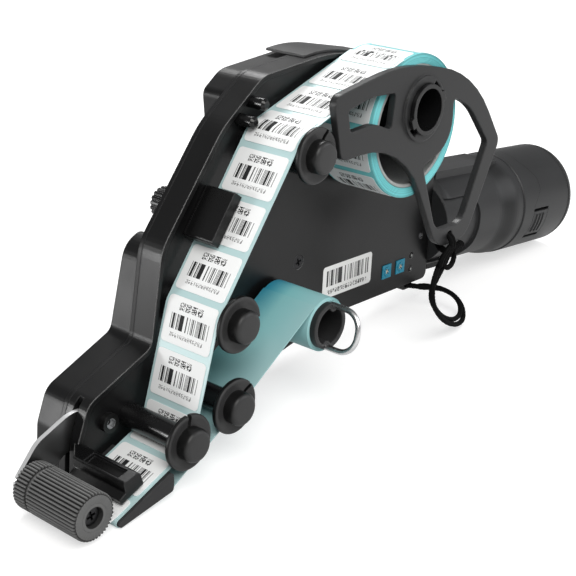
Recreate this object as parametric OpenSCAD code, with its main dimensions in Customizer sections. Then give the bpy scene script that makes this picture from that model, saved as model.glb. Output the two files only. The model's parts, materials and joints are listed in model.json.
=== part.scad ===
// Handheld label applicator. A frame plate carries the label web over four collared posts to a peel
// edge, a motor winds up the bare liner, and a sprung ribbed roller presses the peeled label down.
// Machine axes: X towards the handle, Y away from the web side, Z up, with the middle guide post at 0, 0.
// The module rest() stands the machine on its peel edge and on the end of its handle.

/* [Web and labels] */
// Width of the backing liner
liner_w = 26; // [22:0.5:36]
// Thickness of the backing liner
liner_t = 0.35; // [0.25:0.05:0.5]
// Thickness of a label
label_t = 0.2; // [0.15:0.05:0.3]
// Length of a label along the web
label_len = 17; // [10:0.5:18]
// Distance from one label to the next
label_pitch = 19.5; // [19:0.5:28]
// Bare liner beside a label
label_margin = 1.2; // [0.6:0.1:3]
// Room between the web and a fixed guide
web_lift = 0.15; // [0.1:0.05:0.3]

/* [Label roll] */
// Outer radius of the label roll
roll_r = 28.3; // [26:0.1:30]
// Bore radius of the card core in the roll
roll_bore_r = 23; // [21:0.5:23.5]
// Wall of the card core
roll_core_wall = 1.4; // [1:0.1:2]
// Radius of the spindle that the roll hangs on
spindle_r = 15; // [12:0.5:17]
// Place of the spindle
spindle_at = [99.5, 62.8]; // [-100:0.1:300]
// Radius of the spindle's neck for the retainer
neck_r = 9.9; // [9:0.1:11]
// Bore radius of the hollow spindle
spindle_bore_r = 8.3; // [5:0.1:8.5]

/* [Retainer] */
// Thickness of the retainer
retainer_t = 3; // [2:0.5:4]
// Radius of the retainer's hub
hub_r = 15; // [14:0.5:16]
// Height of the rim round the hub's hole
hub_rim = 1; // [0.5:0.1:2]
// Turn from locked to open
retainer_turn = 25; // [15:1:30]
// Radius of the lanyard's hole
lanyard_hole_r = 1.8; // [1.5:0.1:2]

/* [Frame and covers] */
// Height of the rim on the plate's edge
rim_h = 1.8; // [1:0.1:3]
// Width of the rim
rim_w = 2; // [1.2:0.1:3]
// Gap from the rim to the web
web_gap = 0.8; // [0.5:0.1:2]
// Thickness of the frame plate
plate_t = 2.4; // [2:0.1:3]
// Wall of the frame and covers
wall_t = 2; // [1.6:0.1:2.6]
// Depth of the frame behind the plate's face
frame_d = 8; // [8:0.5:18]
// Depth of the rear cover's bulges
bulge_d = 14; // [14:0.5:18]
// Thickness of the top cover
top_cover_t = 1; // [0.8:0.1:2.5]

/* [Guide posts] */
// Radius of the upper and middle posts
fat_post_r = 8; // [6:0.1:9]
// Radius of the liner and nose posts
slim_post_r = 4.6; // [4.4:0.1:5.5]
// Radius of the spigot that a collar sits on
spigot_r = 4; // [3:0.1:4.2]
// Length of that spigot
spigot_len = 6; // [5:0.5:9]
// Radius of a collar's flange
collar_r = 10.4; // [9:0.1:11]
// Thickness of a collar's flange
collar_t = 2.2; // [1.5:0.1:3]
// Radius of a collar's boss
boss_r = 6.5; // [5.5:0.1:7]
// Width of the slit in a flange
slit_w = 1.1; // [0.6:0.1:2]

/* [Peel edge and roller] */
// Radius of the peel edge
tip_r = 1.2; // [0.8:0.1:2]
// Radius of the press roller over its ribs
roller_r = 8.7; // [7.5:0.1:9]
// Depth of a rib
rib_d = 0.8; // [0.4:0.1:1.2]
// Count of ribs
rib_n = 40; // [24:2:48]
// Radius of the roller's hub
roller_hub_r = 5; // [4.6:0.1:6]
// Radius of the roller's axle
axle_r = 2; // [1.5:0.1:2.4]
// Thickness of the roller arm
arm_t = 1.8; // [1.2:0.1:2.5]
// Radius of the arm's pivot bolt
pivot_r = 2.5; // [2:0.1:3]
// Wire radius of the arm's spring
spring_wire_r = 0.5; // [0.4:0.05:0.6]

/* [Take-up] */
// Outer radius of the take-up core
core_r = 9.2; // [8.5:0.1:9.5]
// Wall of the take-up core
core_wall = 1.8; // [1.4:0.1:2.2]
// Radius of the liner wound on the core
winding_r = 10.7; // [10.2:0.1:12]
// Wire radius of the clip
clip_wire_r = 1; // [0.8:0.05:1.1]
// How far the clip's loop stands out of the core
clip_out = 14; // [10:0.5:20]
// Gear module
gear_m = 0.9; // [0.8:0.05:0.95]
// Teeth on the take-up gear
gear_n = 36; // [36:3:39]
// Teeth on the motor's pinion
pinion_n = 12; // [12:1:14]
// Face width of the gears
gear_w = 3; // [2:0.5:3]
// Radius of the motor
motor_r = 9.5; // [8:0.5:10]

/* [Handle and battery] */
// Radius of the handle
handle_r = 22; // [20:0.1:24]
// Wall of the handle
handle_wall = 2.5; // [2:0.1:3]
// Length of the handle
handle_len = 60; // [54:1:80]
// Droop of the handle's axis, degrees
handle_droop = 3.8; // [0:0.1:6]
// Distance of the handle's axis behind the plate's face
handle_y = 11; // [9:0.5:14]
// Radius of the battery cap
cap_r = 24.8; // [24:0.1:28]
// Length of the battery cap
cap_len = 48; // [40:1:60]
// Rounding of the cap's end
cap_round = 3.5; // [2:0.5:4]
// Room round the battery pack in the handle
pack_room = 1; // [0.6:0.1:3]
// Distance from the trigger to the battery pack
pack_back = 6; // [3:0.5:10]
// Travel of the trigger
trigger_travel = 2.5; // [1:0.1:3]

/* [Sensor] */
// Length of the sensor along the web
sensor_len = 20; // [14:1:24]
// Reach of the sensor over the web
sensor_reach = 13; // [9:0.5:18]
// Travel of the sensor to each side
sensor_travel = 5; // [2:0.5:6]
// Radius of the sensor's stud
stud_r = 2.5; // [2:0.1:3]
// Radius of the thumb knob
knob_r = 6; // [5:0.1:7]

/* [Controls] */
// Side of a trimmer
trimmer_w = 6.2; // [5.5:0.1:7]
// Radius of an indicator
led_r = 1.4; // [1:0.1:2]
// Width of the sticker
sticker_w = 33; // [24:1:36]
// Height of the sticker
sticker_h = 14; // [10:0.5:16]
// Radius of the lanyard's cord
cord_r = 0.9; // [0.7:0.05:1.1]

/* [Hidden] */

// Clearances: between bodies, in a running fit, and between fixed pieces
gap = 0.3;
run = 0.08;
fit = 0.05;
arc_steps = 6;
// Longer than any piece, for cuts that pass right through
beyond = 200;
$fn = 48;

// Places on the plate
upper_at = [37.5, 54];
middle_at = [0, 0];
liner_at = [-0.8, -30.9];
nose_at = [-23.6, -37];
core_at = [51, -14.5];
roller_at = [-65.6, -49.5];
pivot_at = [-33.4, -36.8];
tip_at = [-53.4, -57.2];
peel_back_top = [-31, -46.6];
peel_back_low = [-31, -54.2];
peel_back_r = 1.6;
studs_at = [[35.2, 68.6], [29.6, 62.8]];
screws_at = [[68, -1], [136, 38], [8, -42.5]];
sticker_at = [100.9, -14.5];
trimmers_at = [[128.9, -19.5], [138.9, -19.5]];
leds_at = [[147.2, -16.2], [147.2, -22.6]];
set_at = [153.4, -8.2];
eyelet_at = [152.5, -29.7];
body_end = 160;
handle_at = [body_end, -4.4];

// Outline of the frame: x, z and corner radius, anticlockwise seen from the web side
frame_outline = [[-49, -58, 3], [-28, -56.3, 8], [96, -29.7, 14], [body_end, -29.7, 3], [body_end, 27, 12],
    [147, 50, 18], [120, 75.5, 16], [80, 82, 70], [40.5, 77.5, 14], [19.5, 61, 40], [-9.5, 22, 18],
    [-14, -13.5, 5], [-43.5, -26.5, 8], [-48.3, -40, 10]];
upper_bulge = [[34, -41, 6], [96, -28.4, 10], [body_end - 1.5, -28.4, 2.5], [body_end - 1.5, 26.5, 11],
    [145.8, 49.2, 16], [119.4, 74, 14], [80, 80.4, 60], [42.5, 76, 12], [33.5, 69, 4], [40, 18, 12]];
lower_bulge = [[-47.5, -56.4, 3], [-28, -54.8, 6], [14, -45, 6], [11, 13, 6], [3, 21.5, 4], [-5.5, 17.5, 10],
    [-12.2, -14.2, 5], [-42.5, -27.8, 8], [-46.8, -40.3, 9]];
rim_zone = [[-80, -40], [-44, -40], [-20, -30], [60, 62], [87, 70], [87, 100], [-80, 100]];
top_zone = [[67, 60], [116, 60], [116, 100], [67, 100]];

// Planes across the machine, on the web side of the plate
web_far = -(rim_h + web_gap);
web_near = web_far - liner_w;
post_end = web_near - 0.4;
collar_back = post_end - gap;
retainer_back = web_near - 0.6;
retainer_front = retainer_back - retainer_t;
label_far = web_far - label_margin;
label_near = web_near + label_margin;
cover_back = frame_d + bulge_d;
base_sheet = frame_d + wall_t;

// Plane geometry
function unit(v) = v / norm(v);
function left_of(v) = [-v.y, v.x];
function turn(v, a) = [v.x * cos(a) - v.y * sin(a), v.x * sin(a) + v.y * cos(a)];
function wrap(a) = (a % 360 + 360) % 360;
function flat(v) = [v.x, v.y];

// Fillet of radius r at q, between p and s
function fillet(p, q, s, r) =
    let (
        a = unit(p - q),
        b = unit(s - q),
        half = acos(a * b) / 2,
        centre = q + unit(a + b) * r / sin(half),
        p0 = q + a * r / tan(half) - centre,
        p1 = q + b * r / tan(half) - centre,
        start = atan2(p0.y, p0.x),
        sweep = (atan2(p1.y, p1.x) - start + 540) % 360 - 180
    )
    [for (i = [0:arc_steps]) centre + r * turn([1, 0], start + sweep * i / arc_steps)];
function near(pts, i) = pts[(i + len(pts)) % len(pts)];
function rounded(pts) = [
    for (i = [0:len(pts) - 1])
        let (q = pts[i])
        each (q[2] > 0 ? fillet(flat(near(pts, i - 1)), flat(q), flat(near(pts, i + 1)), q[2]) : [flat(q)])
];
// Outline moved inwards by d, with its corner radii to match
function inset(pts, d) = [
    for (i = [0:len(pts) - 1])
        let (
            q = flat(pts[i]),
            n1 = left_of(unit(q - flat(near(pts, i - 1)))),
            n2 = left_of(unit(flat(near(pts, i + 1)) - q)),
            bend = sign(n1.x * n2.y - n1.y * n2.x),
            v = q + (n1 + n2) * d / (1 + n1 * n2)
        )
        [v.x, v.y, max(pts[i][2] - bend * d, 0.3)]
];

// Web path: stations are x, z, radius and side, where side 1 has its centre on the left of the travel
function tangent(a, b) =
    let (
        span = flat(b) - flat(a),
        dir = unit(turn(span, -asin((b[3] * b[2] - a[3] * a[2]) / norm(span))))
    )
    [flat(a) - a[3] * a[2] * left_of(dir), flat(b) - b[3] * b[2] * left_of(dir)];
function arc_round(s, from, to) =
    let (
        a0 = atan2(from.y - s.y, from.x - s.x),
        a1 = atan2(to.y - s.y, to.x - s.x),
        full = wrap(s[3] * (a1 - a0)),
        sweep = full > 300 ? 0 : full,
        n = max(1, ceil(sweep / 15))
    )
    [for (i = [0:n]) flat(s) + s[2] * turn([1, 0], a0 + s[3] * sweep * i / n)];
function web_path(stations) =
    let (
        last = len(stations) - 1,
        lines = [for (i = [0:last - 1]) tangent(stations[i], stations[i + 1])]
    )
    concat([lines[0][0]],
        [for (i = [1:last - 1]) each arc_round(stations[i], lines[i - 1][1], lines[i][0])],
        [lines[last - 1][1]]);
function side_at(pts, i) =
    let (
        a = left_of(unit(pts[max(i, 1)] - pts[max(i, 1) - 1])),
        b = left_of(unit(pts[min(i + 1, len(pts) - 1)] - pts[min(i, len(pts) - 2)]))
    )
    (a + b) / (1 + a * b);
function strip(pts, d0, d1) =
    concat([for (i = [0:len(pts) - 1]) pts[i] + d0 * side_at(pts, i)],
        [for (i = [len(pts) - 1:-1:0]) pts[i] + d1 * side_at(pts, i)]);
function run_to(pts, i) = i == 0 ? 0 : run_to(pts, i - 1) + norm(pts[i] - pts[i - 1]);
function runs(pts) = [for (i = [0:len(pts) - 1]) run_to(pts, i)];
function point_at(pts, at, s) =
    let (i = max([for (k = [0:len(pts) - 2]) at[k] <= s ? k : 0]))
    pts[i] + (pts[i + 1] - pts[i]) * (s - at[i]) / (at[i + 1] - at[i]);
function part_of(pts, at, s0, s1) =
    concat([point_at(pts, at, s0)],
        [for (i = [0:len(pts) - 1]) if (at[i] > s0 + 0.05 && at[i] < s1 - 0.05) pts[i]],
        [point_at(pts, at, s1)]);

mid_t = liner_t / 2;
roll_at = spindle_at - [0, roll_bore_r - spindle_r - gap];
fat_way = fat_post_r + web_lift + mid_t;
tip_station = [tip_at.x, tip_at.y, tip_r + web_lift + mid_t, 1];
back_station = [peel_back_low.x, peel_back_low.y + peel_back_r, peel_back_r + web_lift + mid_t, 1];
label_way = web_path([
    [roll_at.x, roll_at.y, roll_r + gap + mid_t, 1],
    [upper_at.x, upper_at.y, fat_way, 1],
    [middle_at.x, middle_at.y, fat_way, 1],
    [nose_at.x, nose_at.y, slim_post_r + web_lift + label_t + mid_t, -1],
    tip_station]);
label_runs = runs(label_way);
peel_end = label_way[len(label_way) - 1];
peel_dir = unit(label_way[len(label_way) - 2] - peel_end);
liner_line = web_path([
    tip_station,
    back_station,
    [liner_at.x, liner_at.y, slim_post_r + web_lift + mid_t, 1],
    [core_at.x, core_at.y, winding_r + gap + mid_t, -1]]);
liner_way = concat(arc_round(tip_station, peel_end, liner_line[0]),
    [for (i = [1:len(liner_line) - 1]) liner_line[i]]);

// Rest: the floor touches the liner under the peel edge and the rounded end of the battery cap
cap_end = handle_len + cap_len;
function on_handle(a, h) = handle_at + turn([a, h], -handle_droop);
cap_corner = on_handle(cap_end - cap_round, -(cap_r - cap_round));
floor_line = tangent([tip_at.x, tip_at.y, tip_r + web_lift + liner_t, 1],
    [cap_corner.x, cap_corner.y, cap_round, 1]);
floor_dir = unit(floor_line[1] - floor_line[0]);
rest_tilt = atan2(floor_dir.y, floor_dir.x);
roller_side = turn(roller_at, -rest_tilt).x - roller_r;
cap_side = turn(on_handle(cap_end - cap_round, cap_r - cap_round), -rest_tilt).x + cap_round;
core_near = web_near - 2.6;
clip_end = core_near - clip_out;
rest_at = [-(roller_side + cap_side) / 2, -(clip_end + handle_y + cap_r) / 2,
    -turn(floor_line[0], -rest_tilt).y];

module rest() {
    translate(rest_at) rotate([0, rest_tilt, 0]) children();
}

// A flat shape in x and z, thick from y_near back to y_far
module slab(y_near, y_far) {
    translate([0, y_far, 0]) rotate([90, 0, 0]) linear_extrude(height = y_far - y_near) children();
}

// A round bar across the machine
module rod(at, r, y_near, y_far) {
    translate([at.x, y_far, at.y]) rotate([90, 0, 0]) cylinder(r = r, h = y_far - y_near);
}

// A turned shape on an axis across the machine, with its profile's height running towards the web side
module turned(at, y_base) {
    translate([at.x, y_base, at.y]) rotate([90, 0, 0]) rotate_extrude() children();
}

// The handle's own axes: X along the handle
module on_handle_axis() {
    translate([handle_at.x, handle_y, handle_at.y]) rotate([0, handle_droop, 0]) children();
}

module handle_turned() {
    rotate([0, 90, 0]) rotate_extrude($fn = 64) children();
}

// Frame plate with its side walls
screw_r = 1.5;
screw_head_r = 2.9;
screw_head_d = 1.6;
post_screw_r = 2;
slot_dir = unit(middle_at - upper_at);
slot_angle = atan2(slot_dir.y, slot_dir.x);
sensor_on = 0.52;
web_a = upper_at - fat_way * left_of(slot_dir);
web_b = middle_at - fat_way * left_of(slot_dir);
sensor_at = web_a + (web_b - web_a) * sensor_on;
bearing_r = 7;
arm_y0 = plate_t + gap;
arm_y1 = arm_y0 + arm_t;
mouth_low = [-60, -60];
mouth_size = [18.5, 34.5];

module slot_shape(r) {
    translate(sensor_at) rotate(slot_angle) {
        translate([-sensor_travel, 0]) circle(r);
        translate([sensor_travel, 0]) circle(r);
        translate([-sensor_travel, -r]) square([2 * sensor_travel, 2 * r]);
    }
}

module frame_housing() {
    color("#2b2c2e")
    difference() {
        union() {
            slab(0, frame_d) polygon(rounded(frame_outline));
            slab(-rim_h, 0) intersection() {
                difference() {
                    polygon(rounded(frame_outline));
                    polygon(rounded(inset(frame_outline, rim_w)));
                }
                polygon(rim_zone);
            }
        }
        slab(plate_t, frame_d + 1) polygon(rounded(inset(frame_outline, wall_t)));
        slab(-rim_h, frame_d) slot_shape(stud_r + gap);
        for (at = studs_at) rod(at, web_stud_r + fit, -rim_h - 1, 0);
        for (at = [upper_at, middle_at, liner_at, nose_at]) rod(at, post_screw_r + fit, -1, plate_t + 1);
        for (at = screws_at) {
            rod(at, screw_r + fit, -1, plate_t + 1);
            rod(at, screw_head_r + fit, -1, screw_head_d);
        }
        rod(core_at, bearing_r, -1, plate_t + 1);
        rod(pivot_at, pivot_r + fit, -1, plate_t + 1);
        for (at = trimmers_at)
            slab(-1, plate_t + 1) translate(at) square(trimmer_w + 2 * fit, center = true);
        for (at = leds_at) rod(at, led_r + fit, -1, plate_t + 1);
        rod(set_at, set_r + run, -1, plate_t + 1);
        // Mouth in the nose's end wall for the roller arm
        translate([mouth_low.x, plate_t, mouth_low.y]) cube([mouth_size.x, arm_t + 2 * gap, mouth_size.y]);
    }
}

// Rear cover with its two bulges, seated on the frame's back edge
boss_wall_r = 3.2;

module bulge(outline) {
    difference() {
        slab(frame_d, cover_back) polygon(rounded(outline));
        slab(frame_d - 1, cover_back - wall_t) polygon(rounded(inset(outline, wall_t)));
    }
}

module rear_cover() {
    color("#303133")
    difference() {
        union() {
            difference() {
                slab(frame_d, base_sheet) polygon(rounded(frame_outline));
                for (outline = [upper_bulge, lower_bulge])
                    slab(frame_d - 1, base_sheet + 1) polygon(rounded(inset(outline, wall_t / 2)));
            }
            bulge(upper_bulge);
            bulge(lower_bulge);
            for (at = screws_at) rod(at, boss_wall_r, plate_t, cover_back - wall_t / 2);
        }
        for (at = screws_at) rod(at, screw_r + fit, plate_t - 1, cover_back - wall_t - 2);
        slab(frame_d - 1, base_sheet + 1) slot_shape(stud_r + gap);
    }
}

module top_cover() {
    color("#5b5c5f")
    slab(1.5, cover_back - 1) intersection() {
        difference() {
            polygon(rounded(inset(frame_outline, -top_cover_t)));
            polygon(rounded(inset(frame_outline, -fit)));
        }
        polygon(top_zone);
    }
}

// Countersunk screws through the plate into the rear cover's bosses
screw_len = 13;

module housing_screws() {
    color("#1b1b1c")
    for (at = screws_at)
        difference() {
            union() {
                rod(at, screw_head_r, 0.1, screw_head_d - fit);
                rod(at, screw_r, 0.1, screw_len);
            }
            for (a = [0, 90])
                slab(0, 0.9) translate(at) rotate(a + 20) square([3.4, 0.8], center = true);
        }
}

// Handle: two half shells on a turned profile that flares to the cap, with a spine on top and a thumb recess
spine_w = 18;
spine_h = 1.4;
flare_len = 14;
flare_end = 4;
flare_r = cap_r - 0.5;
recess_d = 1.5;
thumb_recess = [[-10, -18, 0], [25, -18, 8], [25, 13, 8], [-10, 13, 0]];
handle_bore = handle_r - handle_wall;
trigger_x = 12;
trigger_len = 18;
trigger_w = 9;
trigger_out = 3;

module handle_body() {
    handle_turned() difference() {
        polygon(concat([[0, -6]], [for (a = [0:15:90]) [handle_r - 7 + 7 * sin(a), 4 - 7 * cos(a)]],
            [for (t = [0:0.125:1]) [handle_r + (flare_r - handle_r) * t * t * (3 - 2 * t),
                handle_len - flare_end - flare_len * (1 - t)]],
            [[flare_r, handle_len], [0, handle_len]]));
        translate([-1, 3.5]) square([handle_bore + 1, handle_len]);
    }
    difference() {
        translate([3, -spine_w / 2, handle_r - 4]) cube([handle_len - 9, spine_w, 4 + spine_h]);
        handle_turned() translate([0, -10]) square([handle_r - 0.6, handle_len + 20]);
    }
}

module handle_shell(front) {
    intersection() {
        translate([body_end, -beyond / 2, -beyond / 2]) cube(beyond);
        on_handle_axis() difference() {
            handle_body();
            translate([-beyond / 2, front ? 0 : -beyond, -beyond / 2]) cube(beyond);
            intersection() {
                handle_turned() translate([handle_r - recess_d, -10]) square([recess_d + 5, handle_len]);
                slab(-beyond, 0) polygon(rounded(thumb_recess));
            }
            translate([trigger_x - gap, -trigger_w / 2 - gap, -handle_r - 5])
                cube([trigger_len + 2 * gap, trigger_w + 2 * gap, 10]);
        }
    }
}

module handle_front_shell() {
    color("#343538") handle_shell(true);
}

module handle_rear_shell() {
    color("#343538") handle_shell(false);
}

// Battery: a round pack on the end cap that pulls out of the handle
cap_wall = 2.6;
cap_start = handle_len + gap;
ring_at = 4.3;
ring_w = 0.6;
ring_d = 0.8;
latch_x = handle_len + 10;
latch_len = 13;
latch_z = [-13, -0.4];
latch_t = 2.4;
latch_slot = 1.5;
pack_r = handle_bore - pack_room;
pack_from = trigger_x + trigger_len + pack_back;

module battery_pack() {
    color("#3d4a63")
    on_handle_axis() handle_turned()
        translate([0, pack_from]) square([pack_r, cap_end - cap_wall - pack_from]);
}

module latch_block(side, ends) {
    translate([latch_x - side, -cap_r - 2, latch_z[0] - ends])
        cube([latch_len + 2 * side, 14, latch_z[1] - latch_z[0] + 2 * ends]);
}

module battery_cap() {
    color("#3a3b3e")
    on_handle_axis() difference() {
        handle_turned() difference() {
            polygon(concat([[0, cap_start], [flare_r, cap_start], [cap_r, cap_start + cap_r - flare_r],
                [cap_r, cap_end - ring_at - 2 * ring_w], [cap_r - ring_d, cap_end - ring_at - 1.5 * ring_w],
                [cap_r - ring_d, cap_end - ring_at - 0.5 * ring_w], [cap_r, cap_end - ring_at]],
                [for (a = [0:15:90]) [cap_r - cap_round + cap_round * cos(a),
                    cap_end - cap_round + cap_round * sin(a)]],
                [[0, cap_end]]));
            translate([-1, cap_start - 1]) square([pack_r + fit + 1, cap_len - cap_wall - gap + 1]);
        }
        latch_block(gap, latch_slot);
        mirror([0, 1, 0]) latch_block(gap, latch_slot);
    }
}

module latch() {
    on_handle_axis() {
        intersection() {
            handle_turned() translate([cap_r - latch_t, cap_start]) square([latch_t, cap_len]);
            latch_block(0, 0);
        }
        for (i = [-1:1])
            intersection() {
                handle_turned() translate([cap_r - 0.5, cap_start]) square([1, cap_len]);
                translate([latch_x + latch_len / 2 + 3 * i - 0.5, -40, latch_z[0] + 1.6])
                    cube([1, 40, latch_z[1] - latch_z[0] - 3.2]);
            }
    }
}

module front_latch() {
    color("#303134") latch();
}

module rear_latch() {
    color("#303134") translate([0, 2 * handle_y, 0]) mirror([0, 1, 0]) latch();
}

// Trigger under the handle, its spring and its switch
trigger_top = -handle_bore + 3.2;
switch_base = trigger_top + trigger_travel + 1.2;

module trigger() {
    color("#26272a")
    on_handle_axis() {
        translate([trigger_x, -trigger_w / 2, -handle_r - trigger_out])
            cube([trigger_len, trigger_w, handle_r + trigger_out + trigger_top]);
        translate([trigger_x - 2, -trigger_w / 2 - 1.4, trigger_top - 1.4])
            cube([trigger_len + 4, trigger_w + 2.8, 1.4]);
    }
}

function ring6(c, r, u, v) = [for (k = [0:5]) c + r * (cos(60 * k) * u + sin(60 * k) * v)];

// A six-sided wire wound on Z from z0, as one closed tube
module coil(r, wire, pitch, turns) {
    steps = round(8 * turns);
    rings = [
        for (i = [0:steps])
            let (a = 45 * i, out = [cos(a), sin(a), 0])
            ring6(r * out + [0, 0, pitch * i / 8], wire, out, [0, 0, 1])
    ];
    points = [for (ring = rings) each ring];
    sides = [
        for (i = [0:steps - 1], k = [0:5])
            let (a = 6 * i + k, b = 6 * i + (k + 1) % 6)
            each [[a, b + 6, a + 6], [a, b, b + 6]]
    ];
    caps = [for (k = [1:4]) each [[0, k + 1, k], [6 * steps, 6 * steps + k, 6 * steps + k + 1]]];
    polyhedron(points, concat(sides, caps));
}

trigger_turns = 4;
trigger_wire_r = 0.25;
trigger_pitch = (switch_base - trigger_top - 2 * trigger_wire_r - 0.2) / trigger_turns;

module trigger_spring() {
    color("#b9bcc0")
    on_handle_axis()
        translate([trigger_x + trigger_len - 5, 0, trigger_top + trigger_wire_r + 0.1])
            coil(2.2, trigger_wire_r, trigger_pitch, trigger_turns);
}

// The switch stands on two legs on the handle's wall, with its plunger over the trigger
switch_h = 9;
leg_up = 3;
leg_reach = sqrt(pow(handle_bore, 2) - pow(switch_base + leg_up, 2)) - fit;

module trigger_switch() {
    color("#1d1d1f")
    on_handle_axis() {
        translate([trigger_x - 3, -4, switch_base]) cube([trigger_len + 4, 8, switch_h]);
        translate([trigger_x + 4, 0, trigger_top + trigger_travel + gap])
            cylinder(r = 1.2, h = switch_base - trigger_top - trigger_travel);
        translate([trigger_x + 2, -leg_reach, switch_base + leg_up]) cube([8, 2 * leg_reach, 3]);
    }
}

// Guide posts with a spigot for a collar, screwed to the plate
module guide_post(at, r) {
    color("#222325") {
        rod(at, r, post_end, 0);
        rod(at, spigot_r, post_end - spigot_len, post_end);
        rod(at, post_screw_r, 0, plate_t + 2);
    }
}

module upper_guide_post() {
    guide_post(upper_at, fat_post_r);
}

module middle_guide_post() {
    guide_post(middle_at, fat_post_r);
}

module liner_guide_post() {
    guide_post(liner_at, slim_post_r);
}

module nose_guide_post() {
    guide_post(nose_at, slim_post_r);
}

// Slit collar: a dished flange with a domed boss, pushed on a post's spigot
boss_len = spigot_len + 2 - collar_t;
boss_round = 1.8;

module collar(at, slit_angle) {
    color("#3b3c3f")
    difference() {
        turned(at, collar_back)
            polygon(concat([[0, 0], [collar_r - 0.6, 0], [collar_r, 0.6], [collar_r, collar_t - 0.5],
                [collar_r - 0.5, collar_t], [collar_r - 1.6, collar_t], [boss_r, collar_t - 0.5],
                [boss_r, collar_t + boss_len - boss_round]],
                [for (a = [0:15:90]) [boss_r - boss_round + boss_round * cos(a),
                    collar_t + boss_len - boss_round + boss_round * sin(a)]],
                [[0, collar_t + boss_len]]));
        rod(at, spigot_r + run, post_end - spigot_len - gap, collar_back + 1);
        translate([at.x, 0, at.y]) rotate([0, -slit_angle, 0])
            translate([boss_r + 0.4, collar_back - collar_t - 1, -slit_w / 2])
                cube([collar_r, collar_t + 2, slit_w]);
    }
}

module upper_collar() {
    collar(upper_at, 62);
}

module middle_collar() {
    collar(middle_at, 0);
}

module liner_collar() {
    collar(liner_at, 42);
}

module nose_collar() {
    collar(nose_at, 92);
}

// Two short studs that keep the web's edge down
web_stud_r = 2.3;
web_stud_reach = 6;

module web_studs() {
    color("#1f2022")
    for (at = studs_at)
        turned(at, 0)
            polygon([[0, 0], [web_stud_r, 0], [web_stud_r, web_stud_reach - web_far - 1],
                [web_stud_r - 1, web_stud_reach - web_far], [0, web_stud_reach - web_far]]);
}

// Gap sensor: a fork round the web's edge, slid along a slot and held by a thumb knob at the back
fork_out = 5.6;
fork_root = 4.2;
fork_in = 6.4;
fork_slot = 1.3;
knob_len = 10;
knob_back = base_sheet + gap + knob_len;

module fork_shape(out) {
    translate(sensor_at) rotate(slot_angle)
        polygon(rounded([[-sensor_len / 2, -out, 1], [sensor_len / 2, -out, 1], [sensor_len / 2, fork_in, 1],
            [-sensor_len / 2, fork_in, 1]]));
}

module sensor_block() {
    color("#141415") {
        difference() {
            union() {
                slab(web_far - sensor_reach, -rim_h - gap) fork_shape(fork_out);
                slab(-rim_h - gap, -gap) fork_shape(fork_root);
            }
            slab(web_far - sensor_reach - 1, web_far + 0.4) translate(sensor_at) rotate(slot_angle)
                translate([-sensor_len, -fork_slot]) square([2 * sensor_len, 2 * fork_slot]);
        }
        rod(sensor_at, stud_r, -gap, knob_back);
    }
}

module sensor_knob() {
    color("#1b1b1d")
    difference() {
        slab(base_sheet + gap, knob_back - 0.5) translate(sensor_at) difference() {
            circle(knob_r);
            for (a = [0:20:340]) rotate(a) translate([knob_r, 0]) circle(0.5, $fn = 16);
        }
        rod(sensor_at, stud_r + run, frame_d, knob_back + 1);
    }
}

// Bar over the peel plate, set along the peel face
bar_near = web_near + 2.4;
// Its section: distance from the peel edge, height over the peel face, corner radius
bar_section = [[4.6, 3, 0.5], [15.6, 3, 0.5], [15.9, 8.6, 1.5], [8.6, 9.8, 0.8], [7.8, 5.6, 0.5],
    [4.6, 5.2, 0.5]];
// Recess in its upper face
recess_from = 9.6;
recess_w = 4.6;
recess_end = 4;
recess_floor = 7.6;
peel_angle = atan2(peel_dir.y, peel_dir.x);

module along_peel() {
    translate(tip_at) rotate(peel_angle) children();
}

module hold_down_bar() {
    color("#161617")
    difference() {
        slab(bar_near, 0) along_peel() polygon(rounded(bar_section));
        translate([tip_at.x, 0, tip_at.y]) rotate([0, -peel_angle, 0])
            translate([recess_from, bar_near + recess_end, recess_floor])
                cube([recess_w, -bar_near - 2 * recess_end - 1, recess_floor]);
    }
}

// Peel plate: a wedge with a flat top, a round edge and a rounded underside
module peel_plate() {
    color("#2a2b2d")
    slab(web_near - 1.2, 0)
        polygon(concat(
            [for (a = [peel_angle + 90:15:peel_angle + 240]) tip_at + tip_r * turn([1, 0], a)],
            [tip_at + tip_r * turn([1, 0], -84)],
            [for (a = [-60:20:0]) flat(back_station) + peel_back_r * turn([1, 0], a)],
            [[peel_back_low.x + peel_back_r, peel_back_top.y - 1], peel_back_top]));
}

// Press roller: a ribbed rubber sleeve on a hub that turns on a fixed axle
roller_near = web_near - 1.4;
roller_far = 1.5;
groove_at = roller_far - 6;
groove_w = 1.2;

module ribs_shape() {
    step = 360 / rib_n;
    root = roller_r - rib_d;
    difference() {
        polygon([
            for (i = [0:rib_n - 1], k = [[root, -0.32], [roller_r, -0.18], [roller_r, 0.18], [root, 0.32]])
                k[0] * turn([1, 0], step * (i + k[1]))
        ]);
        circle(roller_hub_r + fit);
    }
}

module press_roller() {
    color("#66676a") {
        slab(roller_near, groove_at - groove_w) translate(roller_at) ribs_shape();
        slab(groove_at, roller_far) translate(roller_at) ribs_shape();
        slab(groove_at - groove_w, groove_at) translate(roller_at) difference() {
            circle(roller_r - rib_d - 0.3);
            circle(roller_hub_r + fit);
        }
    }
}

axle_head_r = 3.2;
axle_head_h = 2.2;
head_seat = roller_near + 4;

module roller_hub() {
    color("#5b5c5f")
    difference() {
        rod(roller_at, roller_hub_r, roller_near, arm_y0 - gap);
        rod(roller_at, axle_r + run, roller_near - 1, arm_y0);
        rod(roller_at, axle_head_r + 0.5, roller_near - 1, head_seat);
    }
}

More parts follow.
